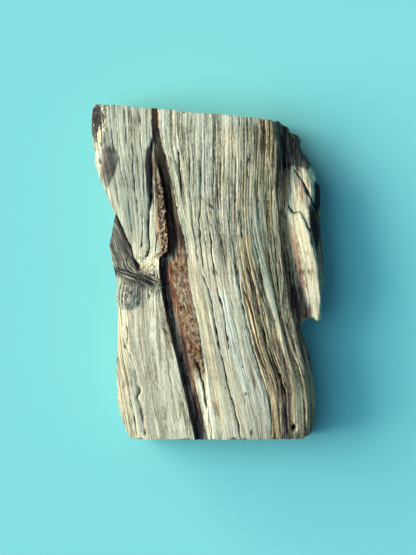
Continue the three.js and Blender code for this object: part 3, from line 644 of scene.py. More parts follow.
STREAKS = (
    # The pale ridge right of the cleft, and the pale crests beside it
    Streak((
        (166, 146), (170, 160), (174, 173), (177.5, 188), (180.5, 203), (185, 216), (189, 232),
        (191.5, 248), (193.5, 262), (195.5, 276),
    ), 0.70, Tint.FRESH, 0.55, 0.1),
    Streak((
        (192, 262), (196, 285), (201, 308), (206, 333), (211, 358), (215, 382), (219, 406), (224, 436),
    ), 1.5, Tint.FRESH, 0.75),
    Streak((
        (184, 150), (185, 175), (187, 200), (190, 225), (194, 250), (198, 270),
    ), 0.5, Tint.FRESH, 0.6, 0.1),
    Streak(((193, 200), (196, 225), (199, 250), (203, 266)), 0.4, Tint.FRESH, 0.55, 0.1),
    Streak(((173, 112), (174, 140), (178, 152)), 0.6, Tint.PALE, 0.5),
    # Pale crests further right
    Streak(((221.5, 118), (221.8, 150), (220, 165)), 0.30, Tint.FRESH, 0.6, 0.1),
    Streak(((237.5, 150), (237.5, 175), (237, 200)), 0.32, Tint.FRESH, 0.75, 0.2),
    Streak((
        (254, 160), (253, 195), (252.5, 212), (254, 226), (257.5, 240), (261, 255), (264, 268),
        (267.5, 282), (271, 297), (274, 310), (278, 326), (282.5, 342), (286, 356), (289.5, 370),
        (292.5, 388), (294, 410), (294.5, 434),
    ), 0.68, Tint.FRESH, 1.0, 0.35),
    Streak((
        (275, 320), (280, 336), (283.5, 349), (287.5, 361), (291.5, 374), (294, 385), (296, 395),
        (296.5, 408), (296, 422), (296, 436),
    ), 0.85, Tint.FRESH, 1.0, 0.35),
    Streak((
        (286, 332), (291, 345), (296, 357), (300, 370), (303, 382), (305.5, 395), (307, 408), (307.5, 420),
        (307, 432),
    ), 0.26, Tint.FRESH, 1.0, 0.3),
    Streak((
        (263, 324), (267, 336), (269.5, 348), (273, 355), (277, 364), (282.5, 375), (286, 386),
    ), 0.26, Tint.FRESH, 0.9, 0.2),
    Streak((
        (260.5, 360), (266, 371), (270, 383), (272.5, 395), (275, 405), (276, 418),
    ), 0.26, Tint.FRESH, 0.8, 0.2),
    Streak(((300, 376), (301.5, 395), (302.5, 412), (302.5, 432)), 0.3, Tint.FRESH, 0.6, 0.1),
    Streak(((311, 372), (312.5, 390), (313, 410)), 0.22, Tint.FRESH, 0.6, 0.1),
    Streak(((261.5, 185), (261.3, 215), (262, 235), (263.5, 252), (266, 265)), 0.30, Tint.FRESH, 0.85, 0.2),
    Streak((
        (266.6, 148), (268.8, 163), (272, 175), (274, 192), (275.5, 207), (277, 225), (279, 250),
        (281.5, 275), (282, 290), (280.3, 304), (283, 320), (287.5, 335), (293, 350), (299, 367),
        (303, 385), (306, 405), (307.3, 432),
    ), 0.26, Tint.FRESH, 1.0, 0.3),
    Streak((
        (236.4, 255), (239, 275), (241.5, 291), (245.5, 312), (250, 331), (254.5, 348), (258.5, 362),
    ), 0.34, Tint.FRESH, 0.95, 0.2),
    Streak((
        (251, 262), (254.5, 285), (258, 301), (261, 316), (264.2, 328), (268, 343), (273, 357), (279, 371),
        (284.8, 384),
    ), 0.30, Tint.FRESH, 0.85, 0.2),
    Streak(((225, 222), (228, 245), (232, 262), (236, 280)), 0.30, Tint.FRESH, 0.7, 0.1),
    Streak(((244, 215), (246, 240), (249, 262)), 0.24, Tint.FRESH, 0.6, 0.1),
    Streak(((270, 208), (272, 235), (274, 262), (277, 285)), 0.20, Tint.FRESH, 0.55, 0.1),
    Streak(((262, 372), (268, 385), (273, 400), (275, 425)), 0.26, Tint.FRESH, 0.55, 0.1),
    Streak(((296, 350), (300, 362), (303, 372)), 0.30, Tint.FRESH, 0.5, 0.1),
    # The left bank's pale ribs, and the lower cleft's pale edge
    Streak(((130, 196), (130, 225), (133, 245)), 0.50, Tint.PALE, 0.8, 0.1),
    Streak(((141, 120), (142, 160), (143, 215), (141, 250)), 0.50, Tint.PALE, 0.7, 0.1),
    Streak(((108, 112), (109, 140), (120, 165), (124, 195)), 0.50, Tint.PALE, 0.7, 0.1),
    Streak(((195, 364), (200, 386), (206, 412), (210, 434)), 0.34, Tint.PALE, 0.8, 0.15),
    # Brown streaks
    Streak(((266, 298), (269, 310), (273, 324), (279, 342), (284, 356), (289.7, 378)), 0.5, Tint.TAN, 0.9),
    Streak(((246, 346), (251, 368), (258, 394)), 0.4, Tint.TAN, 0.8),
    Streak(((272.7, 350), (281, 380), (287.3, 398), (290, 438)), 0.9, Tint.TAN, 0.9),
    Streak(((203, 346), (208, 368), (213, 390), (219.4, 412)), 0.4, Tint.TAN, 0.8),
    Streak(((243, 124), (243, 175), (244, 215)), 1.2, Tint.TAN, 0.55),
    Streak(((257, 122), (257, 170), (256, 215)), 0.7, Tint.TAN, 0.5),
    Streak(((233, 175), (233, 215), (236, 250)), 0.6, Tint.TAN, 0.5),
    Streak(((176, 182), (178, 196)), 0.4, Tint.TAN, 0.7),
    Streak(((148, 355), (147, 375), (148, 396)), 0.9, Tint.TAN, 0.45),
    Streak(((163, 300), (166, 325), (170, 348), (175, 366)), 0.7, Tint.TAN, 0.6),
    # Bluish weathered bands
    Streak(((205.8, 114), (205.4, 150), (205.5, 196)), 1.4, Tint.BLUE, 0.6),
    Streak(((213, 216), (214, 240), (217, 262), (220, 280)), 0.5, Tint.BLUE, 0.9),
    Streak(((221, 285), (227, 310), (232, 335), (238, 358), (243, 380), (247, 396)), 1.9, Tint.BLUE, 1.0),
    Streak(((209, 282), (214, 305), (219, 328), (225, 352)), 0.7, Tint.BLUE, 0.7),
    Streak(((165, 112), (166, 135)), 1.0, Tint.BLUE, 0.5),
    Streak(((188, 118), (189, 150)), 0.8, Tint.BLUE, 0.3),
    # The cleft's reddish heartwood
    Streak((
        (155.0, 144), (155.2, 160), (155.6, 175), (156.4, 190), (157.7, 205), (158.7, 220), (159.4, 235),
        (160.7, 252),
    ), 0.72, Tint.TAN, 1.0, 0.15),
    Streak(((155.4, 150), (156.0, 175), (157.0, 195), (158.7, 220), (159.8, 240)), 0.60, Tint.HEART, 0.5),
    # The broken corner's light fibres
    Streak(((285, 126), (285, 138), (286, 150)), 0.34, Tint.TAN, 1.0),
    Streak(((290, 132), (289.5, 148), (290, 160)), 0.30, Tint.TAN, 1.0),
    Streak(((295, 138), (294.5, 152), (295, 164)), 0.36, Tint.TAN, 1.0),
    Streak(((301, 146), (301, 156), (302, 168)), 0.34, Tint.TAN, 1.0),
    Streak(((307, 152), (307.5, 160), (308, 168)), 0.34, Tint.TAN, 0.9),
    # The tongue's brown lines and orange margin
    Streak(((300.5, 178), (301, 195), (301.5, 210)), 0.36, Tint.HEART, 0.85),
    Streak(((296, 174), (296, 190), (295.5, 209)), 0.22, Tint.HEART, 0.6),
    Streak(((292.5, 172), (292, 190), (291.5, 206)), 0.24, Tint.HEART, 0.5),
    Streak(((305, 188), (306, 200), (306.5, 214)), 0.24, Tint.HEART, 0.7),
    Streak(((290.5, 168), (289.5, 188), (289, 205)), 0.30, Tint.BARK, 0.55),
    Streak(((306, 170), (307.5, 184), (309.5, 196)), 0.30, Tint.BARK, 0.7),
    Streak(((289.0, 219), (294.0, 243), (299.0, 268), (305.0, 296), (310.0, 316)), 0.60, Tint.HEART, 0.5),
    Streak(((291, 226), (296, 250), (301, 272), (306, 296)), 0.24, Tint.HEART, 0.6),
    Streak(((300, 228), (304, 250), (309, 274), (313, 298)), 0.18, Tint.HEART, 0.4),
    # The lower right's pinkish margin
    Streak(((285, 358), (289, 372), (291, 390), (290.5, 406)), 0.32, Tint.HEART, 0.6),
    # Dark rims of the bark corner and of the lump under it
    Streak(((95, 152), (98, 150), (102.5, 152)), 0.3, Tint.BARK, 1.0),
    Streak(((107, 150), (112, 147.5), (117, 150)), 0.3, Tint.BARK, 1.0),
    Streak(((103.4, 107), (104.2, 118), (104.6, 130)), 0.35, Tint.BARK, 1.0),
    # The pale lip left of the cleft
    Streak(((153, 202), (153, 218), (153.5, 235), (155, 252)), 0.75, Tint.FRESH, 0.6, 0.2),
)

# The pointed flap beside the knot, and the line that its wrinkles run along
FLAP = Area((
    (115.5, 213), (121, 224), (126, 236), (131, 248), (136, 262), (141, 270), (136, 276), (122, 271),
    (112, 266), (105, 250), (107, 236), (113, 225),
), Tint.KNOT, 1.0, 0.3, 0.2)
FLAP_FLOW = ((113, 200), (117, 217), (122, 228), (127, 240), (131, 250), (137, 262), (147, 271), (165, 280))

AREAS = (
    FLAP,
    # Smooth pale wood: the lower middle, the lower left bank and the ribs above the flap
    Area((
        (188, 250), (206, 244), (232, 262), (240, 300), (247, 340), (258, 380), (270, 405), (270, 440),
        (222, 440), (212, 390), (205, 345), (196, 300),
    ), Tint.PALE, 0.8, 1.5, 1.0),
    Area((
        (212, 362), (222, 372), (236, 352), (246, 362), (256, 385), (268, 402), (268, 440), (226, 440),
        (218, 400),
    ), Tint.PALE, 1.0, 1.8, 1.2),
    Area((
        (120, 312), (142, 306), (158, 290), (166, 330), (176, 365), (186, 400), (193, 440), (128, 440),
        (116, 400), (117, 350),
    ), Tint.PALE, 0.85, 1.0, 0.5),
    Area((
        (106, 192), (146, 188), (147, 252), (136, 254), (126, 232), (116, 214),
    ), Tint.PALE, 0.6, 1.2, 0.6),
    # Darker weathering between the pale bands
    Area((
        (241, 240), (250, 232), (256, 262), (262, 290), (270, 325), (278, 355), (290, 400), (290, 440),
        (272, 440), (271, 400), (258, 362), (247, 320), (241, 285),
    ), Tint.OLIVE, 0.8, 1.0, 0.8),
    Area((
        (265, 192), (277, 197), (281, 255), (284, 285), (298, 335), (290, 342), (276, 305), (268, 265),
    ), Tint.OLIVE, 0.6, 0.7, 0.6),
    Area((
        (241, 250), (252, 250), (258, 290), (266, 325), (276, 355), (288, 400), (290, 440), (274, 440),
        (272, 400), (258, 362), (246, 320),
    ), Tint.BARK, 0.34, 1.0, 1.0),
    Area((
        (212, 128), (232, 124), (272, 124), (276, 190), (262, 204), (235, 216), (215, 202),
    ), Tint.OLIVE, 0.35, 2.0, 1.0),
    Area((
        (228, 200), (240, 185), (252, 200), (251, 232), (240, 252), (230, 240),
    ), Tint.OLIVE, 0.5, 4.0, 1.5),
    Area((
        (196, 196), (232, 196), (240, 250), (236, 275), (214, 268), (202, 240),
    ), Tint.OLIVE, 0.4, 5.0, 1.0),
    Area((
        (204, 200), (218, 190), (234, 200), (238, 262), (222, 272), (210, 250),
    ), Tint.KNOT, 0.5, 3.5, 1.5),
    Area(((232, 232), (246, 232), (250, 300), (244, 300)), Tint.OLIVE, 0.6, 1.5, 1.0),
    Area((
        (268, 340), (288, 322), (298, 334), (306, 350), (316, 372), (320, 400), (320, 440), (272, 440),
        (272, 402), (262, 372),
    ), Tint.OLIVE, 0.9, 0.8, 0.6),
    Area((
        (294, 330), (302, 340), (308, 354), (318, 374), (320, 400), (320, 440), (308, 440), (308, 400),
        (300, 360),
    ), Tint.TAN, 0.9, 0.6, 1.0),
    Area((
        (272, 330), (290, 322), (300, 340), (308, 356), (316, 374), (320, 400), (320, 440), (276, 440),
        (274, 400), (266, 370),
    ), Tint.TAN, 0.62, 1.0, 1.0),
    Area((
        (276, 343), (281, 341), (283, 352), (290, 376), (292, 392), (290, 440), (281, 440), (283, 392),
        (278, 362),
    ), Tint.BARK, 0.55, 0.6, 0.5),
    Area((
        (162, 112), (182, 112), (200, 150), (199, 200), (186, 200), (176, 160),
    ), Tint.OLIVE, 0.2, 2.0, 0.8),
    # The corner's bark, the hollow and the lump under it
    Area((
        (92, 106), (103, 106), (105.5, 116), (104, 130), (106, 141), (100, 148), (94, 140), (90, 128),
    ), Tint.KNOT, 1.0, 0.4, 0.7),
    Area((
        (105, 147), (113, 146), (117.5, 152), (119.5, 160), (117, 170), (112, 181), (107, 191),
        (104.5, 177),
    ), Tint.KNOT, 1.0, 0.4, 0.4),
    Area(((102, 150), (106, 148), (107, 170), (104, 184), (101, 176)), Tint.BARK, 0.55, 0.5, 0.3),
    Area(((94, 152), (100, 150), (103, 156), (103, 166), (100, 177), (94, 168)), Tint.BLUE, 1.0, 0.3, 0.2),
    Area(((97, 131), (101, 131), (102, 140), (101, 150), (98, 150), (97, 140)), Tint.FRESH, 0.8, 0.3, 0.3),
    Area(((104, 127), (110, 130), (114, 148), (104, 149), (102, 140)), Tint.KNOT, 0.55, 0.8, 0.6),
    # The stains left of the cleft
    Area((
        (145.8, 149), (153.5, 146), (154, 200), (151.5, 212), (149, 196), (147, 178), (145.8, 165),
    ), Tint.KNOT, 1.0, 0.3, 0.5),
    Area(((152.6, 106), (159.4, 106), (159, 130), (158.6, 146), (153, 146)), Tint.BARK, 0.9, 0.3, 0.9),
    # The broken corner at the upper right, and the shaded strip under it
    Area((
        (262, 116), (292, 118), (292, 160), (284, 190), (278, 205), (270, 180), (264, 150),
    ), Tint.OLIVE, 1.0, 1.2, 1.0),
    Area((
        (268, 116), (280, 118), (282, 160), (283, 205), (277, 215), (274, 180), (270, 145),
    ), Tint.BARK, 0.5, 0.8, 1.5),
    Area((
        (280, 116), (292, 124), (308, 146), (322, 170), (326, 250), (324, 300), (320, 300), (318, 240),
        (314, 180), (296, 160), (282, 150),
    ), Tint.HEART, 0.2, 0.8, 1.0),
    Area((
        (272, 116), (290, 122), (308, 146), (318, 167), (311, 166), (306, 172), (300, 168), (299, 177),
        (292, 165), (286, 178), (281, 188), (279, 166), (276, 150), (274, 134),
    ), Tint.BARK, 0.82, 0.45, 0.9),
    Area((
        (276, 150), (281, 150), (284, 190), (283, 220), (279, 215), (277, 185),
    ), Tint.BARK, 0.7, 0.6, 0.8),
    Area(((282, 168), (291, 164), (290, 200), (284, 208), (281, 190)), Tint.HEART, 0.6, 0.6, 0.5),
    # The tongue's pale facets, its brown edges and its dark rim: the rim partly painted shade
    Area((
        (290, 166), (293, 169), (299, 179), (304, 190), (308, 203), (309, 216), (306, 220), (300, 211),
        (292, 212), (289, 205), (289, 185),
    ), Tint.FRESH, 0.7, 0.3, 0.8),
    Area((
        (301, 171), (305, 168), (311, 168), (313, 178), (314, 197), (309, 196), (305, 187),
    ), Tint.FRESH, 0.7, 0.3, 0.8),
    Area((
        (283, 204), (290, 214), (300, 215), (305, 226), (310, 239), (313, 252), (317, 268), (318.5, 285),
        (320.5, 300), (320, 324), (311, 319), (307, 300), (301, 280), (296, 263), (290, 250), (286, 236),
        (282, 220),
    ), Tint.FRESH, 0.85, 0.3, 0.5),
    Area((
        (307, 204), (315, 210), (322, 214), (322, 250), (317, 256), (313, 246), (309, 228),
    ), Tint.TAN, 0.9, 0.4, 0.5),
    Area((
        (306, 204), (316, 211), (320, 236), (318, 253), (313, 243), (309, 226),
    ), Tint.BARK, 0.85, 0.4, 0.8),
    Area((
        (262, 200), (284, 200), (287, 240), (292, 270), (300, 300), (300, 335), (290, 345), (276, 320),
        (268, 280), (262, 240),
    ), Tint.OLIVE, 0.9, 1.0, 1.0),
    Area((
        (279, 215), (283, 235), (287, 258), (291.5, 280), (297, 300), (301, 314), (300, 326), (296, 332),
        (292, 318), (287, 300), (282, 275), (279, 250),
    ), Tint.BARK, 0.9, 0.5, 0.5),
    Area((
        (286, 208), (291, 224), (296, 248), (301, 272), (306, 296), (312, 318), (303, 322), (297, 300),
        (291.5, 280), (287, 258), (283, 235),
    ), Tint.HEART, 0.72, 0.5, 1.2),
    Area((
        (284, 208), (288, 224), (293, 248), (298, 272), (303, 296), (309, 318), (303, 322), (297, 300),
        (291.5, 280), (287, 258), (283, 235),
    ), Tint.BARK, 0.95, 0.6, 0.9),
    Area((
        (313, 182), (322, 184), (323, 216), (325, 262), (325, 300), (322.5, 300), (321.5, 275), (319, 256),
        (316, 215),
    ), Tint.BARK, 0.8, 0.4, 0.5),
    Area((
        (297, 326), (306, 330), (314, 352), (319, 392), (320, 430), (315, 440), (314, 400), (308, 372),
        (299, 350),
    ), Tint.BARK, 0.62, 0.6, 0.8),
    Area((
        (282, 388), (289, 386), (290, 410), (290, 440), (281.5, 440), (282, 412),
    ), Tint.BARK, 1.0, 0.4, 0.8),
)

PATCHES = (
    # The flap
    Patch(124, 243, 4, 30, Tint.BARK, 0.35, -20, 0.4),
    Patch(122, 244, 6, 26, Tint.DIRT, 0.30, -20, 0.5),
    # The crumbly hollow at the cleft's step, with a hole where the flap ends, its dark painted shade
    Patch(148, 262, 9, 13, Tint.GRIT, 0.7, 0, 0.5),
    Patch(149, 264, 9, 9, Tint.FRESH, 0.5),
    Patch(149, 262, 8, 11, Tint.KNOT, 0.3, 0, 0.5),
    Patch(138, 264, 2.0, 5.0, Tint.DIRT, 1.0, -35),
    # The knot and the bent fibres above it
    Patch(131, 294, 12, 15, Tint.KNOT, 0.95, 0, 0.25),
    Patch(134, 276, 8, 26, Tint.KNOT, 0.95, -64, 0.3),
    Patch(122, 277, 5, 15, Tint.DIRT, 0.40, -64, 0.5),
    Patch(142, 281, 4.5, 20, Tint.BARK, 0.3, -62, 0.5),
    Patch(143, 287, 4, 6, Tint.BARK, 0.5, -30),
    # The stain left of the cleft, the bark corner, and the lump and hollow under it
    Patch(149.8, 174, 3.8, 27, Tint.DIRT, 0.72),
    Patch(98.5, 121, 6.5, 18, Tint.DIRT, 0.66),
    Patch(98, 122, 8, 20, Tint.GRIT, 0.8),
    Patch(111.5, 164, 6.5, 19, Tint.DIRT, 0.50),
    Patch(111.5, 151, 6, 3, Tint.DIRT, 0.62),
    Patch(100.5, 160, 1.0, 2.8, Tint.BARK, 1.0),
    # The broken corner's crumbs and dark patches, and the dark right of the tongue: grime and painted shade
    Patch(299, 140, 12, 20, Tint.CRUMB, 0.6, -30),
    Patch(284, 145, 5, 28, Tint.DIRT, 0.66, -4, 0.6),
    Patch(305, 156, 3, 14, Tint.DIRT, 0.6, -34, 0.5),
    Patch(317, 198, 4, 19, Tint.DIRT, 0.85, 0, 0.5),
    Patch(315, 228, 4.5, 22, Tint.DIRT, 0.8, -8, 0.5),
    # The granular band's red-brown place and pale spot, and the cleft's pale lump
    Patch(194, 345, 5.0, 14, Tint.HEART, 0.5, -20),
    Patch(192, 354, 0.9, 1.6, Tint.BLUE, 1.0),
    Patch(183, 248, 1.4, 4.5, Tint.PALE, 0.9, -6),
    # Lighter spots on the broken corner
    Patch(297.5, 152, 2.0, 5, Tint.FRESH, 0.8),
    Patch(296, 134, 3.0, 4, Tint.KNOT, 0.7),
    # The tongue's brown stains
    Patch(298, 247, 1.2, 9, Tint.TAN, 0.7, -8),
    Patch(304, 278, 1.2, 11, Tint.TAN, 0.7, -12),
    Patch(299, 268, 1.0, 4, Tint.TAN, 0.9, -12),
    Patch(302, 258, 0.9, 3, Tint.BARK, 0.6, -12),
    Patch(297, 236, 0.9, 5, Tint.TAN, 0.8, -12),
    Patch(301, 195, 0.9, 16, Tint.TAN, 0.9, -4),
    Patch(294, 188, 0.7, 16, Tint.TAN, 0.7, -2),
    Patch(297.5, 243, 0.7, 2.5, Tint.BARK, 0.9, -12),
    Patch(299.5, 253, 0.8, 3.0, Tint.BARK, 0.8, -12),
    Patch(301.5, 263, 0.7, 2.5, Tint.BARK, 0.9, -12),
    Patch(303.5, 272, 0.8, 3.0, Tint.BARK, 0.9, -12),
    Patch(305.5, 282, 0.7, 3.0, Tint.BARK, 0.8, -12),
    # Small pits darkened by painted shade, brown spots, the dark lower right edge and the upper cut's pink
    # spot
    Patch(313, 428, 3.5, 12, Tint.BARK, 0.9),
    Patch(178, 152, 0.8, 1.2, Tint.DIRT, 1.0),
    Patch(224.5, 385, 0.9, 0.8, Tint.DIRT, 0.9),
    Patch(241, 367, 0.7, 0.8, Tint.DIRT, 0.9),
    Patch(244.5, 392, 1.4, 1.8, Tint.BARK, 0.9),
    Patch(252, 433, 1.6, 4.0, Tint.BARK, 0.9),
    Patch(186, 258, 1.6, 3.6, Tint.BARK, 0.9),
    Patch(215.5, 407, 2.4, 8.0, Tint.HEART, 0.5, -10),
    Patch(216, 117.5, 1.2, 1.1, Tint.HEART, 1.0),
)


@dataclass(frozen=True)
class BeetleHole:
    """A round exit hole, straight down into the wood: place in photograph pixels, sizes in millimetres."""

    x: float = 294.0
    y: float = 426.5
    radius: float = 0.75
    depth: float = 2.6


@dataclass(frozen=True)
class Knot:
    """The round knot on the left bank and the slanting rib of fibres above it, in millimetres."""

    x: float = -24.2
    y: float = -7.0
    half_width: float = 3.4
    half_height: float = 4.6
    swell: float = 0.9
    pitting: float = 0.10
    rib: Points = ((-27.2, 1.8), (-14.6, -4.0))
    rib_width: float = 2.2
    rib_height: float = 0.8
    twist_depth: float = 0.28


@dataclass(frozen=True)
class Ridges:
    """The grain's ridges in three sizes: swells, ridges and fibres, each with its width and length (mm).

    A depth is how far a size moves the surface (mm), a shade how much it brightens the wood's colour on
    the crests and darkens it in the furrows, partly the wood's own darker furrows and partly painted
    shade, and a level the height, from 0 to 1, that counts as neither raised nor sunk.
    """

    swell: tuple[float, float] = (3.6, 46.0)
    ridge: tuple[float, float] = (1.12, 46.0)
    fibre: tuple[float, float] = (0.44, 24.0)
    ridge_furrow: float = 0.24
    fibre_furrow: float = 0.28
    wander: float = 0.30
    flutter: float = 0.07
    swell_depth: float = 0.20
    ridge_depth: float = 0.28
    fibre_depth: float = 0.20
    ridge_level: float = 0.8
    fibre_level: float = 0.75
    base_shade: float = 0.56
    swell_shade: float = 0.05
    ridge_shade: float = 0.34
    fibre_shade: float = 0.38

    def waves(self, c: Array, y: Array) -> tuple[Array, Array, Array]:
        """The three sizes over the grain coordinate, which wanders a little first. Each is strand noise;
        the two smaller ones are turned into rounded ridges with narrow furrows.

        Args:
            c: Coordinate across the grain, in millimetres.
            y: Height along the grain, in millimetres.

        Returns:
            Swells from -1 to 1, and ridges and fibres from 0 in their furrows to 1 on top.
        """
        s = c + self.wander * blotches(c / 5.0, y / 17.0, 3) + self.flutter * blotches(c / 1.6, y / 4.6, 4)
        swells = strands(s / self.swell[0], y / self.swell[1], 1)
        ridges = strands(s / self.ridge[0], y / self.ridge[1], 2)
        fibres = strands(s / self.fibre[0], y / self.fibre[1], 5)
        return swells, furrows(ridges, self.ridge_furrow), furrows(fibres, self.fibre_furrow)


@dataclass
class Surface:
    """A closed grid in the drawing frame, in millimetres: rows are sections along the grain, columns run
    over the face, down the right wall, back under and up the left wall.

    part is each column's Part, share the grain's share of the relief, station each row's height and c the
    coordinate across the grain. relief is what the surface gains along its normals and cuts what it loses
    straight down. flows holds the coordinates across and along the grain, the rib and the flap's wrinkles.
    """

    x: Array
    y: Array
    z: Array
    part: Array
    share: Array
    station: Array
    c: Array = field(init=False)
    relief: Array = field(init=False)
    cuts: Array = field(init=False)
    tints: dict[Tint, Array] = field(init=False)
    flows: dict[str, tuple[Array, Array]] = field(default_factory=dict)

    def __post_init__(self) -> None:
        """Starts bare: nothing raised, cut or tinted."""
        self.c, self.relief, self.cuts = (np.zeros_like(self.x) for _ in range(3))
        self.tints = {tint: np.zeros_like(self.x) for tint in Tint}

    @property
    def face(self) -> Array:
        """Which columns belong to the weathered face."""
        return self.part < Part.RIGHT_WALL

    @property
    def walls(self) -> Array:
        """Which columns belong to the two side walls."""
        return (self.part == Part.RIGHT_WALL) | (self.part == Part.LEFT_WALL)

    def normals(self) -> tuple[Array, Array, Array]:
        """Unit normals, outwards: the cross product of the steps round the section and along the grain.

        Returns:
            The normals' x, y and z.
        """
        points = np.stack([self.x, self.y, self.z])
        across = np.roll(points, -1, axis=2) - np.roll(points, 1, axis=2)
        along = np.gradient(points, axis=1)
        n = np.cross(across, along, axis=0)
        return tuple(n / np.maximum(np.linalg.norm(n, axis=0), 1e-9))

    def lay(self, tint: Tint, amount: Array) -> None:
        """Lays a tint on, where it is stronger than what is there."""
        self.tints[tint] = np.maximum(self.tints[tint], amount)

    def shade(self, level: Array, amount: Array) -> None:
        """Draws the brightness of crests and furrows towards level."""
        self.tints[Tint.CREST] = mix(self.tints[Tint.CREST], level, amount)

    def near(self, path: Array, reach: float) -> Array:
        """Finds the columns that come within reach of a path's box somewhere.

        Args:
            path: The path's x and y, in rows.
            reach: How far round the box, in millimetres.

        Returns:
            True for each such column.
        """
        rows = (self.y > path[:, 1].min() - reach) & (self.y < path[:, 1].max() + reach)
        inside = rows & (self.x > path[:, 0].min() - reach) & (self.x < path[:, 0].max() + reach)
        return inside.any(axis=0)

    def within(self, part: Part) -> Array:
        """Measures how far each column lies across one part of the section.

        Args:
            part: The part.

        Returns:
            From just above 0 to just below 1 in that part, and 0 elsewhere.
        """
        here = self.part == part
        share = np.zeros(len(here))
        share[here] = (np.arange(here.sum()) + 0.5) / here.sum()
        return np.broadcast_to(share, self.x.shape)

    def oval(self, patch: Patch) -> Array:
        """A patch's mask, with an uneven, soft edge drawn out along the grain.

        Args:
            patch: The patch.

        Returns:
            The patch's strength inside its oval, and 0 outside.
        """
        k = PHOTO.mm_per_pixel
        cx, cy = PHOTO.mm(((patch.x, patch.y),))[0]
        dx = self.x - cx + 0.45 * blotches(self.x / 1.1, self.y / 3.5, 11)
        dy = self.y - cy + 1.0 * blotches(self.x / 0.8, self.y / 4.0, 12)
        lean = math.radians(patch.lean)
        u = (dx * math.cos(lean) - dy * math.sin(lean)) / (patch.half_width * k)
        v = (dx * math.sin(lean) + dy * math.cos(lean)) / (patch.half_height * k)
        return patch.strength * smooth(1 + patch.soft, 1 - patch.soft, np.hypot(u, v))

    def inside(self, area: Area) -> Array:
        """An area's mask. A point is inside where a ray from it crosses the outline an odd number of times;
        the edge is softened by its distance and made ragged by noise.

        Args:
            area: The area.

        Returns:
            The area's strength inside its outline, and 0 outside.
        """
        path = PHOTO.mm(area.outline)
        near = self.near(path, 2.0 + area.soft)
        x, y = self.x[:, near], self.y[:, near]
        odd = np.zeros(x.shape, bool)
        for (ax, ay), (bx, by) in zip(path, np.roll(path, -1, axis=0)):
            if ay != by:
                odd ^= ((ay > y) != (by > y)) & (x < ax + (y - ay) / (by - ay) * (bx - ax))
        d = trace(x, y, np.vstack([path, path[:1]]))[0]
        uneven = 0.65 * strands(x / 0.7 + 0.08 * y, y / 4.0, 13) + 0.35 * blotches(x / 0.5, y / 0.9, 17)
        mask = np.zeros_like(self.x)
        mask[:, near] = smooth(-area.soft, area.soft, np.where(odd, d, -d) + area.ragged * uneven)
        return area.strength * mask


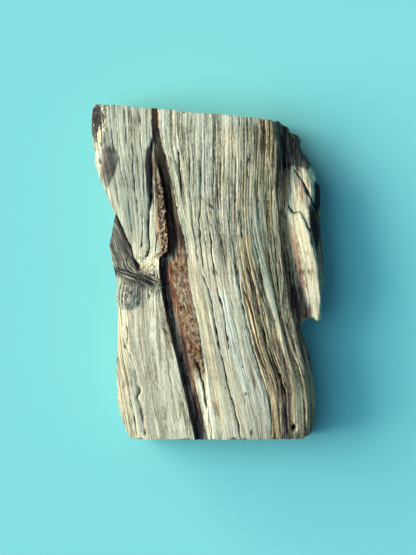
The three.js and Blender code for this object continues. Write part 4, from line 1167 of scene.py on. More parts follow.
@dataclass
class Weathering:
    """Lays the photograph's streaks, areas, patches, checks and ledges on a surface, and the broad shades
    between them."""

    ridges: Ridges = field(default_factory=Ridges)
    wall_cut: float = 0.8
    wall_relief: float = 0.75
    wall_height: float = 14.0
    under_relief: float = 0.45
    sharp_line_reach: tuple[float, float] = (0.95, 0.65)
    soft_share: float = 0.55

    def lay_streaks(self, s: Surface) -> None:
        """Colours the streaks, and raises those that stand proud.

        Args:
            s: The surface, of which it changes the tints and the relief.
        """
        x = s.x + 0.30 * blotches(s.x / 1.6, s.y / 6.0, 21)
        for streak in STREAKS:
            path = PHOTO.mm(streak.path)
            near = s.face & s.near(path, 3 * streak.width)
            y = s.y[:, near]
            d, _, along = trace(x[:, near], y, path)
            ends = tapered(path, along, 4, 4)
            uneven = 0.95 + 0.25 * strands(s.c[:, near] / 0.8, y / 9.0, 22)
            amount = np.clip(streak.strength * ends * uneven * bell(d, streak.width), 0, 1)
            s.tints[streak.tint][:, near] = np.maximum(s.tints[streak.tint][:, near], amount)
            s.relief[:, near] += 0.6 * streak.height * ends * bell(d, 1.2 * streak.width)

    def lay_places(self, s: Surface) -> None:
        """Colours the areas and the patches.

        Args:
            s: The surface, of which it changes the tints.
        """
        for area in AREAS:
            s.lay(area.tint, s.inside(area) * s.face)
        for patch in PATCHES:
            s.lay(patch.tint, s.oval(patch) * s.face)

    def lay_shades(self, s: Surface) -> None:
        """Lays the broad shades: the browner right half, the split bark of both corners, the dark shoulder
        beside the notch, brown strands towards the right, and the reddish, stained side walls.

        Args:
            s: The surface, of which it changes the tints.
        """
        right_half = 0.45 * smooth(6, 22, s.x) * smooth(30, 27, s.x)
        s.tints[Tint.OLIVE] = np.clip(s.tints[Tint.OLIVE] + right_half * s.face, 0, 1)
        right_corner = smooth(17.5, 20, s.x) * smooth(29, 33, s.y) * s.face
        s.tints[Tint.BARK] *= 1 - 0.6 * right_corner * smooth(0.1, 0.7, strands(s.c / 0.9, s.y / 8.0, 27))
        left_corner = smooth(-30.6, -31.4, s.x) * smooth(36.5, 38, s.y) * s.face
        pieces = 1 - 0.85 * left_corner * smooth(0.15, 0.55, strands(s.c / 0.75, s.y / 3.2, 28))
        s.tints[Tint.KNOT] *= pieces
        s.tints[Tint.DIRT] *= pieces
        rim = (s.part >= Part.SHOULDER) & (s.part <= Part.TONGUE) & (s.y < -15.5)
        s.lay(Tint.BARK, rim * (0.42 + 0.3 * strands(s.c / 0.7, s.y / 5.0, 26)))
        s.lay(Tint.HEART, 0.8 * rim)
        brown = 0.55 * smooth(4, 24, s.x) * smooth(0.0, 0.7, strands(s.c / 1.3, s.y / 16.0, 23))
        s.lay(Tint.TAN, brown * s.face)
        unseen = ~s.face
        s.lay(Tint.HEART, 0.75 * (s.part == Part.RIGHT_WALL))
        s.lay(Tint.TAN, 0.5 * unseen * smooth(-0.5, 0.7, strands(s.c / 3.0, s.y / 25.0, 24)))
        s.lay(Tint.BARK, 0.8 * unseen * smooth(0.1, 0.8, strands(s.c / 4.0, s.y / 30.0, 25)))

    def warm(self, s: Surface) -> Array:
        """Turns the fresh wood of the lower right and of the tongue into a warm cream.

        Args:
            s: The surface, of which it changes the tints.

        Returns:
            How warm each point is, from 0 to 1.
        """
        lower_right = smooth(17, 21, s.x) * smooth(-4, -14, s.y)
        tongue = smooth(27.5, 29, s.x) * smooth(-15, -13, s.y) * smooth(34, 30, s.y)
        warmth = np.maximum(lower_right, 0.7 * tongue) * s.face * s.tints[Tint.FRESH]
        s.lay(Tint.OLIVE, warmth)
        s.tints[Tint.TAN] *= 1 - warmth
        s.tints[Tint.FRESH] *= 1 - 0.6 * warmth
        return warmth

    def raise_grain(self, s: Surface) -> None:
        """Adds the grain's ridges, with lighter crests and darker furrows in the colour: partly the wood's
        own, partly painted shade in the furrows. Weathered olive wood is cut deeper by the furrows, pale wood
        is smoother, and the underside only has shallow furrows.

        Args:
            s: The surface, of which it changes the relief and the tints.
        """
        r, tints = self.ridges, s.tints
        warmth = self.warm(s)
        swells, ridges, fibres = r.waves(s.c, s.y)
        olive, pale = tints[Tint.OLIVE], np.maximum(tints[Tint.PALE], 0.7 * tints[Tint.FRESH])
        cut = (0.40 + 0.60 * olive) * (1 - 0.6 * pale)
        cut[:, s.walls] = self.wall_cut
        amount = s.share * (1.0 + 0.35 * blotches(s.x / 9.0, s.y / 24.0, 8))
        above_foot = (s.z[:, s.walls] - FOOT_LIFT) / self.wall_height
        amount[:, s.walls] = self.wall_relief * smooth(0.0, 0.35, above_foot)
        amount *= 1 - 0.75 * np.clip(tints[Tint.KNOT], 0, 1)
        sharp = r.ridge_depth * (ridges - r.ridge_level) + r.fibre_depth * (fibres - r.fibre_level)
        height = r.swell_depth * swells + cut * sharp
        s.relief += amount * height
        under = s.part == Part.UNDERSIDE
        s.relief[:, under] = self.under_relief * np.minimum(height[:, under] - 0.1, 0)
        # Colour of crests and furrows: partly the wood's own, partly painted shade in the furrows
        sharp = r.ridge_shade * (ridges - r.ridge_level) + r.fibre_shade * (fibres - r.fibre_level)
        broad = r.base_shade + r.swell_shade * swells + 0.16 * tints[Tint.FRESH] + 0.24 * warmth
        crest = np.clip(broad + (0.2 + 0.8 * cut) * sharp, 0, 1)
        crest -= 0.12 * (s.part == Part.LEFT_SIDE)
        crest += 0.14 * ((s.part == Part.SHOULDER) | (s.part == Part.VALLEY)) * smooth(36, 28, s.y)
        crest += 0.12 * s.face * bell(s.x - 19.5, 3.0) * smooth(24, 16, s.y) * smooth(-14, -6, s.y)
        crest += 0.12 * ((s.part == Part.TONGUE) | (s.part == Part.RIM)) * smooth(-14, -17, s.y)
        tints[Tint.CREST] = crest
        calm = 0.38 * smooth(-15, -18, s.x) * smooth(0, 10, s.y)
        tints[Tint.ROUGH] = np.clip(0.6 + 0.3 * olive - 0.35 * pale - calm, 0, 1)

    @staticmethod
    def wavering(s: Surface) -> Array:
        """x of each point, shifted a little to and fro, so that a straight path is drawn unevenly."""
        return s.x + 0.22 * blotches(s.x / 1.1, s.y / 3.0, 14) + 0.12 * blotches(s.x / 0.5, s.y / 0.8, 15)

    def open_checks(self, s: Surface) -> None:
        """Cuts the checks into the face and darkens them with grime and painted shade, the dark of their
        narrow gaps. Each wavers a little and grows from nothing over its first millimetres; a sharp line,
        also painted shade, keeps its offset and amount where it is the strongest.

        Args:
            s: The surface, of which it changes the cuts and the tints.
        """
        x = self.wavering(s)
        for check in CHECKS:
            path = PHOTO.mm(check.path)
            near = s.face & s.near(path, 3.0)
            d, signed, along = trace(x[:, near], s.y[:, near], path)
            ends = tapered(path, along, 2.5, 2.0)
            uneven = 0.66 + 0.50 * blotches(s.x[:, near] / 2.0, s.y[:, near] / 2.2, 16)
            s.cuts[:, near] += check.depth * ends * uneven * bell(d, check.width)
            # How dark the check is painted: partly grime, partly painted shade in its narrow gap
            dark = check.dirt * ends * (0.35 + uneven) * bell(d, 0.95 * check.width)
            if check.line:
                place, amount = s.tints[check.line], s.tints[LINES[check.line]]
                broken = 0.55 + 0.6 * uneven + 0.35 * blotches(s.x[:, near] / 3.0, s.y[:, near] / 1.1, 18)
                drawn = np.clip(check.dirt * ends * broken, 0, 1) * smooth(*self.sharp_line_reach, d)
                stronger = drawn > amount[:, near]
                place[:, near] = np.where(stronger, 0.5 + 0.5 * np.clip(signed, -1, 1), place[:, near])
                amount[:, near] = np.where(stronger, drawn, amount[:, near])
                dark = self.soft_share * dark
            s.tints[Tint.DIRT][:, near] = np.maximum(s.tints[Tint.DIRT][:, near], dark)

    def drop_ledges(self, s: Surface) -> None:
        """Lowers the low side of each ledge, most at the ledge and less with the distance.

        Args:
            s: The surface, of which it changes the cuts.
        """
        x = self.wavering(s)
        for step in STEPS:
            path = PHOTO.mm(step.path)
            near = s.face & s.near(path, step.reach + 2.0)
            d, signed, _ = trace(x[:, near], s.y[:, near], path)
            side = step.side * signed
            s.cuts[:, near] += step.drop * smooth(-0.1, 0.45, side) * (1 - smooth(0.3, step.reach, d))


@dataclass
class StickShape:
    """Works out the stick's surface as a closed grid. Lengths are in millimetres."""

    rows: int = 190
    closer_rows: Points = ((-14.0, 1.2, 1.6), (0.5, 0.9, 4.5))
    wall_columns: int = 26
    under_columns: int = 44
    bottom_cut: float = -49.8
    top_cut: float = 47.7
    cut_slant: float = -0.0915
    cut_pivot: float = -6.65
    slant_start: float = 20.0
    tip_x: float = 31.2
    tip_reach: float = 2.2
    tip_y: float = -13.0
    tip_spread: float = 2.0
    tip_drop: float = 2.2
    foot_inset: float = 3.8
    foot_wander: float = 1.6
    foot_run: float = 13.0
    ledge_pitch: float = 3.8
    ledge_run: float = 30.0
    ledge_depth: float = 1.5
    wall_hollow: float = 0.3
    under_shift: float = 60.0
    chipped: float = 1.4
    grain: Grain = field(default_factory=Grain)
    knot: Knot = field(default_factory=Knot)
    hole: BeetleHole = field(default_factory=BeetleHole)
    weathering: Weathering = field(default_factory=Weathering)

    def stations(self) -> Array:
        """Heights of the rows: even steps, drawn closer around the places in closer_rows, which are
        (height, how much closer, how widely).

        Returns:
            The heights, from the lower cut up.
        """
        y = mix(self.bottom_cut, self.top_cut, np.linspace(0, 1, 4001))
        density = np.ones_like(y)
        for place, more, width in self.closer_rows:
            density += more * bell(y - place, width)
        share = np.cumsum(density)
        share = (share - share[0]) / (share[-1] - share[0])
        return np.interp(np.linspace(0, 1, self.rows), share, y)

    def leaning(self, x: Array, station: Array) -> Array:
        """y of each point: the station, leaned towards the slanted upper cut as it comes near."""
        near_cut = smooth(self.slant_start, self.top_cut, station)
        return station + near_cut * self.cut_slant * (x - self.cut_pivot)

    def settle(self, station: Array, rule: Rule) -> tuple[Array, Array, Array]:
        """Finds points that lie both on a leaning station and on the rule y -> (x, z), by repeated passes.

        Args:
            station: Heights of the rows, as a column.
            rule: Function that gives x and z for an array of y.

        Returns:
            x, y and z arrays.
        """
        x, z = rule(station)
        for _ in range(5):
            y = self.leaning(x, station)
            x, z = rule(y)
        return x, y, z

    def face_block(self, station: Array, k: int) -> tuple[Array, Array, Array, Array]:
        """Columns of the face between line k and the next: a straight blend in x; in z the blend's own
        parameter runs ahead by bulge * t * (1 - t), which rounds the surface.

        Args:
            station: Heights of the rows, as a column.
            k: Index of the span in FACE.

        Returns:
            x, y, z and the share of relief, each (rows, columns).
        """
        span = FACE[k]
        after = FACE[min(k + 1, len(FACE) - 1)]
        t = (np.arange(span.columns) / span.columns)[None, :]
        bulge = span.bulge if span.line is not CROWN else -span.bulge
        lift = t + bulge * t * (1 - t)

        def rule(y: Array) -> tuple[Array, Array]:
            """Places the block's points.

            Args:
                y: Their heights along the grain.

            Returns:
                Their x and z.
            """
            y = np.broadcast_to(y, (len(station), span.columns))
            x = mix(span.line.x(y), after.line.x(y), t)
            return x, mix(span.line.z(y), after.line.z(y), lift)

        x, y, z = self.settle(station, rule)
        return x, y, z, np.broadcast_to(mix(span.relief, after.relief, t), x.shape)

    def wall_block(self, station: Array, edge: Line, foot: Line, outward: int) -> tuple[Array, Array, Array]:
        """Columns of a side wall, from the edge down to the foot: a straight blend that steps in and out
        by noise over z, times sin(pi t).

        Args:
            station: Heights of the rows, as a column.
            edge: The wall's upper line.
            foot: The wall's lower line.
            outward: 1 on the right, -1 on the left.

        Returns:
            x, y and z arrays.
        """
        t = (np.arange(1, self.wall_columns) / self.wall_columns)[None, :]
        belly = np.sin(np.pi * t)

        def rule(y: Array) -> tuple[Array, Array]:
            """Places the wall's points.

            Args:
                y: Their heights along the grain.

            Returns:
                Their x and z.
            """
            y = np.broadcast_to(y, (len(station), self.wall_columns - 1))
            z = mix(edge.z(y), foot.z(y), t)
            noise = blotches(z / self.ledge_pitch + 0.4 * outward, y / self.ledge_run + outward, 0)
            swing = self.ledge_depth * noise - self.wall_hollow
            return mix(edge.x(y), foot.x(y), t) + outward * belly * swing, z

        return self.settle(station, rule)

    def under_block(self, station: Array) -> tuple[Array, Array, Array]:
        """Columns of the underside, from right to left: flat, and lifted towards both edges.

        Args:
            station: Heights of the rows, as a column.

        Returns:
            x, y and z arrays.
        """
        t = (np.arange(self.under_columns + 1) / self.under_columns)[None, :]

        def rule(y: Array) -> tuple[Array, Array]:
            """Places the underside's points.

            Args:
                y: Their heights along the grain.

            Returns:
                Their x and z.
            """
            y = np.broadcast_to(y, (len(station), self.under_columns + 1))
            right, left = RIGHT_FOOT.x(y), LEFT_FOOT.x(y)
            x = mix(right, left, t)
            uneven = [blotches(y / self.foot_run, np.full_like(y, side), 0) for side in (1.0, 2.0)]
            inset = self.foot_inset + self.foot_wander * np.where(t < 0.5, *uneven)
            near = np.minimum(right - x, x - left)
            return x, FOOT_LIFT * (1 - smooth(0, 1, near / inset))

        return self.settle(station, rule)

    def grid(self) -> Surface:
        """Builds the closed grid of points with its relief and the amounts of each tint.

        Returns:
            The finished surface.
        """
        station = self.stations()[:, None]
        blocks = [self.face_block(station, k) for k in range(len(FACE))]
        right = self.wall_block(station, RIGHT_EDGE, RIGHT_FOOT, 1)
        under = self.under_block(station)
        left = tuple(a[:, ::-1] for a in self.wall_block(station, LEFT_EDGE, LEFT_FOOT, -1))
        blocks += [(*block, np.zeros_like(block[0])) for block in (right, under, left)]
        x, y, z, share = (np.hstack([block[i] for block in blocks]) for i in range(4))
        part = np.repeat(np.arange(len(blocks)), [block[0].shape[1] for block in blocks])
        return self.dress(Surface(x, y, z, part, share, station[:, 0]))

    def dress(self, s: Surface) -> Surface:
        """Works out the tints, then moves the points by the relief along their normals and by the cuts.

        Args:
            s: The bare surface.

        Returns:
            The same surface, finished.
        """
        normal = s.normals()
        s.c = self.cross_coordinate(s)
        self.weathering.lay_streaks(s)
        self.weathering.lay_places(s)
        self.weathering.lay_shades(s)
        self.weathering.raise_grain(s)
        self.weathering.open_checks(s)
        self.weathering.drop_ledges(s)
        self.raise_knot(s)
        self.wrinkle_flap(s)
        self.crumble_cleft(s)
        self.break_rims(s)
        self.bore_hole(s)
        s.x += s.relief * normal[0]
        s.y += s.relief * normal[1]
        s.z += s.relief * normal[2] - s.cuts
        self.hang_tip(s)
        self.chip_ends(s)
        s.z = np.maximum(s.z, 0.0)
        s.flows["Grain"] = (s.c, s.y.copy())
        return s

    def cross_coordinate(self, s: Surface) -> Array:
        """The coordinate across the grain: the grain lines' on the face, carried on down the walls by
        their own length, and x, shifted, below.

        Args:
            s: The bare surface.

        Returns:
            The coordinate, in millimetres.
        """
        right, under, left = (s.part == part for part in (Part.RIGHT_WALL, Part.UNDERSIDE, Part.LEFT_WALL))
        c = self.grain.coordinate(s.x, s.y)
        run = np.hypot(np.diff(s.x, axis=1, prepend=s.x[:, :1]), np.diff(s.z, axis=1, prepend=s.z[:, :1]))
        last = np.flatnonzero(s.face)[-1]
        c[:, right] = c[:, [last]] + np.cumsum(run[:, right], axis=1)
        back = run[:, left][:, ::-1]
        c[:, left] = c[:, [0]] - np.cumsum(back, axis=1)[:, ::-1]
        c[:, under] = s.x[:, under] + self.under_shift
        return c

    def raise_knot(self, s: Surface) -> None:
        """Swells the round knot, with its uneven skin, and the slanting rib of twisted fibres above it.

        Args:
            s: The surface, of which it changes the relief, the tints and the flows.
        """
        knot = self.knot
        u = (s.x - knot.x) / knot.half_width
        v = (s.y - knot.y) / knot.half_height
        dome = np.exp(-(u**2) - v**2) * s.face
        mottle = blotches(s.x / 0.8, s.y / 0.9, 31) + 0.6 * blotches(s.x / 0.4, s.y / 0.45, 32)
        s.relief += knot.swell * dome + knot.pitting * dome * mottle
        s.shade(np.clip(0.5 + 0.25 * mottle, 0, 1), np.clip(dome * 1.4, 0, 1))
        d, offset, along = trace(s.x, s.y, np.array(knot.rib))
        rib = bell(d, knot.rib_width) * s.face * smooth(-1, 2, along)
        s.relief += knot.rib_height * rib
        across = offset / 0.55 + 0.25 * blotches(along / 3.0, offset, 37)
        twist = furrows(strands(across, along / 7.0, 33), 0.5)
        s.relief += knot.twist_depth * rib * (twist - 0.6)
        s.shade(0.02 + 0.52 * twist, np.clip(rib * 1.3, 0, 1))
        s.lay(Tint.GRIT, 0.38 * np.clip(1.6 * dome - 0.3, 0, 1))
        s.tints[Tint.ON_RIB] = rib
        s.flows["Rib"] = (offset, along)

    @staticmethod
    def wrinkle_flap(s: Surface) -> None:
        """Wrinkles the pointed flap along FLAP_FLOW.

        Args:
            s: The surface, of which it changes the relief, the tints and the flows.
        """
        flap = s.inside(FLAP) * s.face
        _, across, run = trace(s.x, s.y, PHOTO.mm(FLAP_FLOW))
        sway = across + 0.5 * blotches(run / 3.5, across / 2.0, 36)
        wrinkle = furrows(strands(sway / 0.44, run / 3.2, 34), 0.4)
        s.relief += 0.20 * flap * (wrinkle - 0.7)
        s.shade(0.15 + 0.30 * wrinkle, flap)
        s.tints[Tint.ON_FLAP] = flap
        s.flows["Flap"] = (sway, run)

    @staticmethod
    def crumble_cleft(s: Surface) -> None:
        """Crumbles the cleft's sides: crumbs on the upper left one, which reach onto a shelf beside the lip,
        and a granular band of torn fibres on the lower right one. Stains both, and the floor between them,
        with bark and heartwood. The crumbs' dark gaps are painted shade, and so is the dark of the lower
        floor beside the left wall and of the upper right slope, where the left lip's shadow falls.

        Args:
            s: The surface, of which it changes the relief and the tints.
        """
        slope, floor, rise = (
            np.broadcast_to(s.part == part, s.x.shape)
            for part in (Part.LEFT_SLOPE, Part.CLEFT_FLOOR, Part.RIGHT_SLOPE)
        )
        across_floor = s.within(Part.CLEFT_FLOOR)
        upper, lower = smooth(3, 6, s.y), smooth(5, 2, s.y)
        inland = LEFT_LIP.x(s.y) - s.x
        shelf = np.where(slope, 1.0, s.face * smooth(2.3, 1.7, inland) * (inland > -0.1))
        crumbs = shelf * upper * smooth(31, 25, s.y)
        band = rise * lower * smooth(-36, -27, s.y)
        u = s.c + 0.5 * blotches(s.c / 1.2, s.y / 1.3, 61)
        v = s.y + 1.0 * blotches(s.c / 0.9, s.y / 1.8, 62)
        clods = smooth(-0.3, 0.6, strands(u / 0.75, v / 4.0, 38) + 0.55 * blotches(u / 0.45, v / 1.3, 39))
        s.relief += 0.16 * band * (1 - clods) + 0.42 * crumbs * blotches(s.x / 0.6, s.y / 1.0, 35)
        s.shade(0.40 - 0.14 * clods + 0.06 * crumbs, np.maximum(crumbs, band))
        # Painted shade: the upper right slope darkened where the left lip's shadow falls
        shaded_rise = 0.36 * rise * smooth(5, 8, s.y) * smooth(42, 30, s.y)
        s.tints[Tint.CREST] += floor * (0.22 * upper + 0.06 * lower) - shaded_rise
        s.lay(Tint.GRIT, crumbs)
        s.lay(Tint.OLIVE, 0.9 * crumbs)
        s.lay(Tint.BARK, (0.62 * crumbs + 0.8 * slope) * smooth(36, 31, s.y))
        # Painted shade in the crumbs' gaps and on the upper right slope
        s.lay(Tint.DIRT, 0.30 * crumbs * (1 - clods) + 0.30 * rise * bell(s.y - 19.0, 9.0))
        s.lay(Tint.CRUMB, band)
        s.lay(Tint.OLIVE, 0.9 * band * clods)
        s.lay(Tint.BARK, 0.40 * band * (1 - clods))
        s.lay(Tint.BARK, 0.5 * floor * upper * smooth(44, 38, s.y))
        s.lay(Tint.HEART, 0.7 * floor * upper * smooth(44, 38, s.y))
        # Painted shade: the lower floor darkened, most beside the left wall, where the left lip's shadow
        # falls
        s.lay(Tint.BARK, (smooth(0.75, 0.25, across_floor) + 0.5 * smooth(-4, -14, s.y)) * floor * lower)
        s.lay(Tint.HEART, smooth(0.15, 0.6, across_floor) * lower * smooth(-60, -35, s.y))
        s.lay(Tint.BARK, 0.85 * (slope | floor) * smooth(37, 41, s.y))
        s.lay(Tint.TAN, 0.7 * rise * smooth(-36, -27, s.y))
        # Painted shade on the upper right slope, where the left lip's shadow falls
        s.lay(Tint.BARK, 0.5 * rise * upper * smooth(24, 14, s.y))
        s.lay(Tint.BARK, 0.5 * rise * bell(s.y - 26.0, 13.0))
        s.lay(Tint.DIRT, 0.45 * rise * bell(s.y - 17.0, 9.0))
        s.lay(Tint.BARK, 0.75 * rise * bell(s.y - 5.0, 1.8))

    @staticmethod
    def break_rims(s: Surface) -> None:
        """Notches the cleft's right lip, and makes the broken upper right corner's rim jagged.

        Args:
            s: The surface, of which it changes the relief and the tints.
        """
        lip = s.face * bell(s.x - RIGHT_LIP.x(s.y), 0.6) * smooth(6, 10, s.y) * smooth(40, 36, s.y)
        notch = lip * smooth(0.0, 0.6, blotches(s.y / 0.8, s.x / 0.9, 40))
        s.relief -= 0.5 * notch
        s.lay(Tint.BARK, 0.8 * notch)
        broken = (s.part >= Part.VALLEY) * smooth(24, 28, s.y) * smooth(23, 26, s.x) * smooth(3, 7, s.z)
        s.relief += 0.7 * broken * strands(s.y / 1.4 + 0.2 * s.z, s.z / 7.0, 29)

    def bore_hole(self, s: Surface) -> None:
        """Sinks the beetle hole and darkens it with painted shade.

        Args:
            s: The surface, of which it changes the relief and the tints.
        """
        hole = self.hole
        x, y = PHOTO.mm(((hole.x, hole.y),))[0]
        pit = smooth(1.25 * hole.radius, 0.75 * hole.radius, np.hypot(s.x - x, s.y - y)) * s.face
        s.relief -= hole.depth * pit
        # Painted shade: the hole's dark inside
        s.lay(Tint.DIRT, pit)

    def hang_tip(self, s: Surface) -> None:
        """Draws the tongue's tip out along the grain: a bell in y, from tip_x outwards.

        Args:
            s: The surface, of which it moves the points.
        """
        out = smooth(self.tip_x, self.tip_x + self.tip_reach, s.x)
        pull = self.tip_drop * bell(s.y - self.tip_y, self.tip_spread) * out
        s.y -= pull * smooth(4, 12, s.z)

    def chip_ends(self, s: Surface) -> None:
        """Roughens the sawn edges: fibres stand out or are missing by a fraction of a millimetre.

        Args:
            s: The surface, of which it moves the points.
        """
        low = smooth(self.bottom_cut + self.chipped, self.bottom_cut, s.station)[:, None]
        high = smooth(self.top_cut - self.chipped, self.top_cut, s.station)[:, None]
        teeth = 0.16 * strands(s.c / 0.7, s.c / 50, 41) + 0.14 * strands(s.c / 2.6, s.c / 50, 42)
        notches = 0.55 * smooth(0.35, 0.75, strands(s.c / 1.2, s.c / 50, 43))
        s.y += (high - low) * (teeth - notches)


@dataclass(frozen=True)
class Cap:
    """What closes a sawn end: inner points (x, y, z in rows), triangles and the inner points' tints."""

    points: Array
    triangles: Array
    tints: dict[Tint, Array]


@dataclass
class SawCut:
    """One sawn end: closes the grid's first or last row with points spaced over the cut.

    outward is 1 at the upper cut and -1 at the lower one; lengths are in millimetres.
    """

    surface: Surface
    row: int
    outward: int
    shape: StickShape
    spacing: float = 0.9
    row_share: float = 0.87
    stir: float = 0.25
    clearance: float = 0.45
    mark_pitch: float = 1.5
    mark_depth: float = 0.07

    def inner_points(self, ring: Array) -> Array:
        """Points inside the ring: a staggered lattice, kept where a ray to the left crosses the ring an
        odd number of times and no ring point is closer than clearance.

        Args:
            ring: The ring's x and z, in rows.

        Returns:
            The inner points' x and z, in rows.
        """
        low, high = ring.min(axis=0), ring.max(axis=0)
        rows = np.arange(low[1], high[1], self.spacing * self.row_share)
        columns = np.arange(low[0], high[0], self.spacing)
        gx, gz = np.meshgrid(columns, rows)
        gx = gx + 0.5 * self.spacing * (np.arange(len(rows)) % 2)[:, None]
        gx, gz = gx.ravel(), gz.ravel()
        gx = gx + self.stir * self.spacing * blotches(gx * 3.1, gz * 2.7, 51)
        gz = gz + self.stir * self.spacing * blotches(gx * 2.3, gz * 3.7, 52)
        a, b = ring, np.roll(ring, -1, axis=0)
        spans = (a[:, 1][None] > gz[:, None]) != (b[:, 1][None] > gz[:, None])
        rise = np.where(b[:, 1] == a[:, 1], 1e-9, b[:, 1] - a[:, 1])
        cross = a[:, 0] + (gz[:, None] - a[:, 1]) / rise * (b[:, 0] - a[:, 0])
        inside = (spans & (cross < gx[:, None])).sum(axis=1) % 2 == 1
        apart = np.hypot(gx[:, None] - a[:, 0], gz[:, None] - a[:, 1]).min(axis=1) > self.clearance
        return np.column_stack([gx, gz])[inside & apart]

    def build(self, first_inner: int) -> Cap:
        """Triangulates the cut.

        Args:
            first_inner: Index that the first inner point will have in the mesh.

        Returns:
            The cut's points, triangles and tints.
        """
        s = self.surface
        columns = s.x.shape[1]
        ring = np.column_stack([s.x[self.row], s.z[self.row]])
        inner = self.inner_points(ring)
        flat = [Vector(p) for p in np.vstack([ring, inner])]
        edges = [(i, (i + 1) % columns) for i in range(columns)]
        made, _, faces, sources, _, _ = delaunay_2d_cdt(flat, edges, [], 1, 1e-6)
        if len(made) != len(flat):
            LOG.warning("saw cut row %d: %d points became %d", self.row, len(flat), len(made))
        triangles = np.array([source[0] for source in sources])[np.array(faces)]
        base = (self.row % len(s.station)) * columns
        triangles = np.where(triangles < columns, triangles + base, triangles - columns + first_inner)
        if self.outward > 0:
            triangles = triangles[:, ::-1]
        x, z = inner.T
        plane = self.shape.leaning(x, np.full_like(x, s.station[self.row]))
        waves = 2 * np.pi * (z + 0.25 * x + blotches(x / 9, z / 9, 53)) / self.mark_pitch
        rough = 0.08 * blotches(x / 0.9, z / 0.9, 54) + 0.10 * blotches(x / 3.0, z / 3.0, 55)
        points = np.column_stack([x, plane + self.mark_depth * np.sin(waves) + rough, z])
        tints = {tint: np.zeros_like(x) for tint in Tint}
        tints[Tint.SAWN] = np.ones_like(x)
        tints[Tint.CREST] = 0.5 + 0.4 * blotches(x / 1.1, z / 1.1, 56)
        return Cap(points, triangles, tints)


@dataclass
class StickMesh:
    """Turns the finished surface and its two saw cuts into one closed Blender mesh."""

    shape: StickShape
    name: str = "palo_santo_wood"

    def offset(self) -> Array:
        """Finds the drawing frame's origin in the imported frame: the drawing's right edge and lower cut are
        matched to the CAD node's.

        Returns:
            x, y and z, in millimetres.
        """
        low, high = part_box(NODE)
        right = max(p[1] for p in RIGHT_EDGE.points)
        return np.array([high.x / MM - right, low.y / MM - self.shape.bottom_cut, low.z / MM])

    def build(self) -> bpy.types.Object:
        """Makes the object, at the origin, with its place in its mesh.

        Returns:
            The new object, linked to the scene.
        """
        s = self.shape.grid()
        rows, columns = s.x.shape
        skin = np.column_stack([s.x.ravel(), s.y.ravel(), s.z.ravel()])
        lower = SawCut(s, 0, -1, self.shape).build(rows * columns)
        upper = SawCut(s, rows - 1, 1, self.shape).build(rows * columns + len(lower.points))
        sawn = np.vstack([lower.points, upper.points])
        flows = {}
        for name, (u, v) in s.flows.items():
            flows[name] = np.vstack([np.column_stack([u.ravel(), v.ravel()]), sawn[:, [0, 2]]])
        values = {t: np.concatenate([s.tints[t].ravel(), lower.tints[t], upper.tints[t]]) for t in Tint}
        r, c = np.meshgrid(np.arange(rows - 1), np.arange(columns), indexing="ij")
        a, b = r * columns + c, r * columns + (c + 1) % columns
        quads = np.stack([a, b, b + columns, a + columns], axis=-1).reshape(-1, 4)
        triangles = np.vstack([lower.triangles, upper.triangles])
        mesh = self.fill(np.vstack([skin, sawn]) + self.offset(), quads, triangles)
        self.sharpen(mesh, rows, columns)
        self.paint(mesh, values, flows)
        LOG.info("%s: %d faces, %d triangles", self.name, len(mesh.polygons), 2 * len(quads) + len(triangles))
        made = bpy.data.objects.new(self.name, mesh)
        bpy.context.scene.collection.objects.link(made)
        return made

    def fill(self, points: Array, quads: Array, triangles: Array) -> bpy.types.Mesh:
        """Puts points and faces into a new mesh, with smooth shading.

        Args:
            points: The points, in millimetres, in rows.
            quads: Four point numbers for each quad.
            triangles: Three point numbers for each triangle.

        Returns:
            The new mesh, in metres.
        """
        mesh = bpy.data.meshes.new(self.name)
        corners = np.concatenate([quads.ravel(), triangles.ravel()]).astype(np.int32)
        sizes = np.concatenate([np.full(len(quads), 4), np.full(len(triangles), 3)])
        starts = np.concatenate([[0], np.cumsum(sizes)[:-1]]).astype(np.int32)
        mesh.vertices.add(len(points))
        mesh.vertices.foreach_set("co", (points * MM).astype(np.float32).ravel())
        mesh.loops.add(len(corners))
        mesh.loops.foreach_set("vertex_index", corners)
        mesh.polygons.add(len(sizes))
        mesh.polygons.foreach_set("loop_start", starts)
        mesh.update(calc_edges=True)
        mesh.validate()
        mesh.polygons.foreach_set("use_smooth", np.ones(len(mesh.polygons), bool))
        return mesh

    def sharpen(self, mesh: bpy.types.Mesh, rows: int, columns: int) -> None:
        """Marks the sawn edges sharp: those that join neighbours in the first or the last row.

        Args:
            mesh: The mesh.
            rows: How many rows its grid has.
            columns: How many columns its grid has.
        """
        ends = np.empty(len(mesh.edges) * 2, np.int32)
        mesh.edges.foreach_get("vertices", ends)
        ends = ends.reshape(-1, 2)
        first = (ends < columns).all(axis=1)
        last = ((ends >= (rows - 1) * columns) & (ends < rows * columns)).all(axis=1)
        gap = np.abs(ends[:, 0] - ends[:, 1])
        sharp = (first | last) & ((gap == 1) | (gap == columns - 1))
        attribute = mesh.attributes.new("sharp_edge", "BOOLEAN", "EDGE")
        attribute.data.foreach_set("value", sharp)

    def paint(self, mesh: bpy.types.Mesh, values: dict[Tint, Array], flows: dict[str, Array]) -> None:
        """Writes the tints as colour attributes, and each flow's coordinates as a UV map.

        Args:
            mesh: The mesh.
            values: Each tint's amounts at the points.
            flows: Each flow's coordinates at the points, in millimetres.
        """
        for name in sorted(CHANNELS):
            colour = np.ones((len(mesh.vertices), 4), np.float32)
            for tint in Tint:
                if tint.value[0] == name:
                    colour[:, tint.value[1]] = np.clip(values[tint], 0, 1)
            attribute = mesh.attributes.new(name, "FLOAT_COLOR", "POINT")
            attribute.data.foreach_set("color", colour.ravel())
        corners = np.empty(len(mesh.loops), np.int32)
        mesh.loops.foreach_get("vertex_index", corners)
        for name in sorted(flows):
            uv = mesh.uv_layers.new(name=name)
            uv.uv.foreach_set("vector", flows[name][corners].astype(np.float32).ravel())


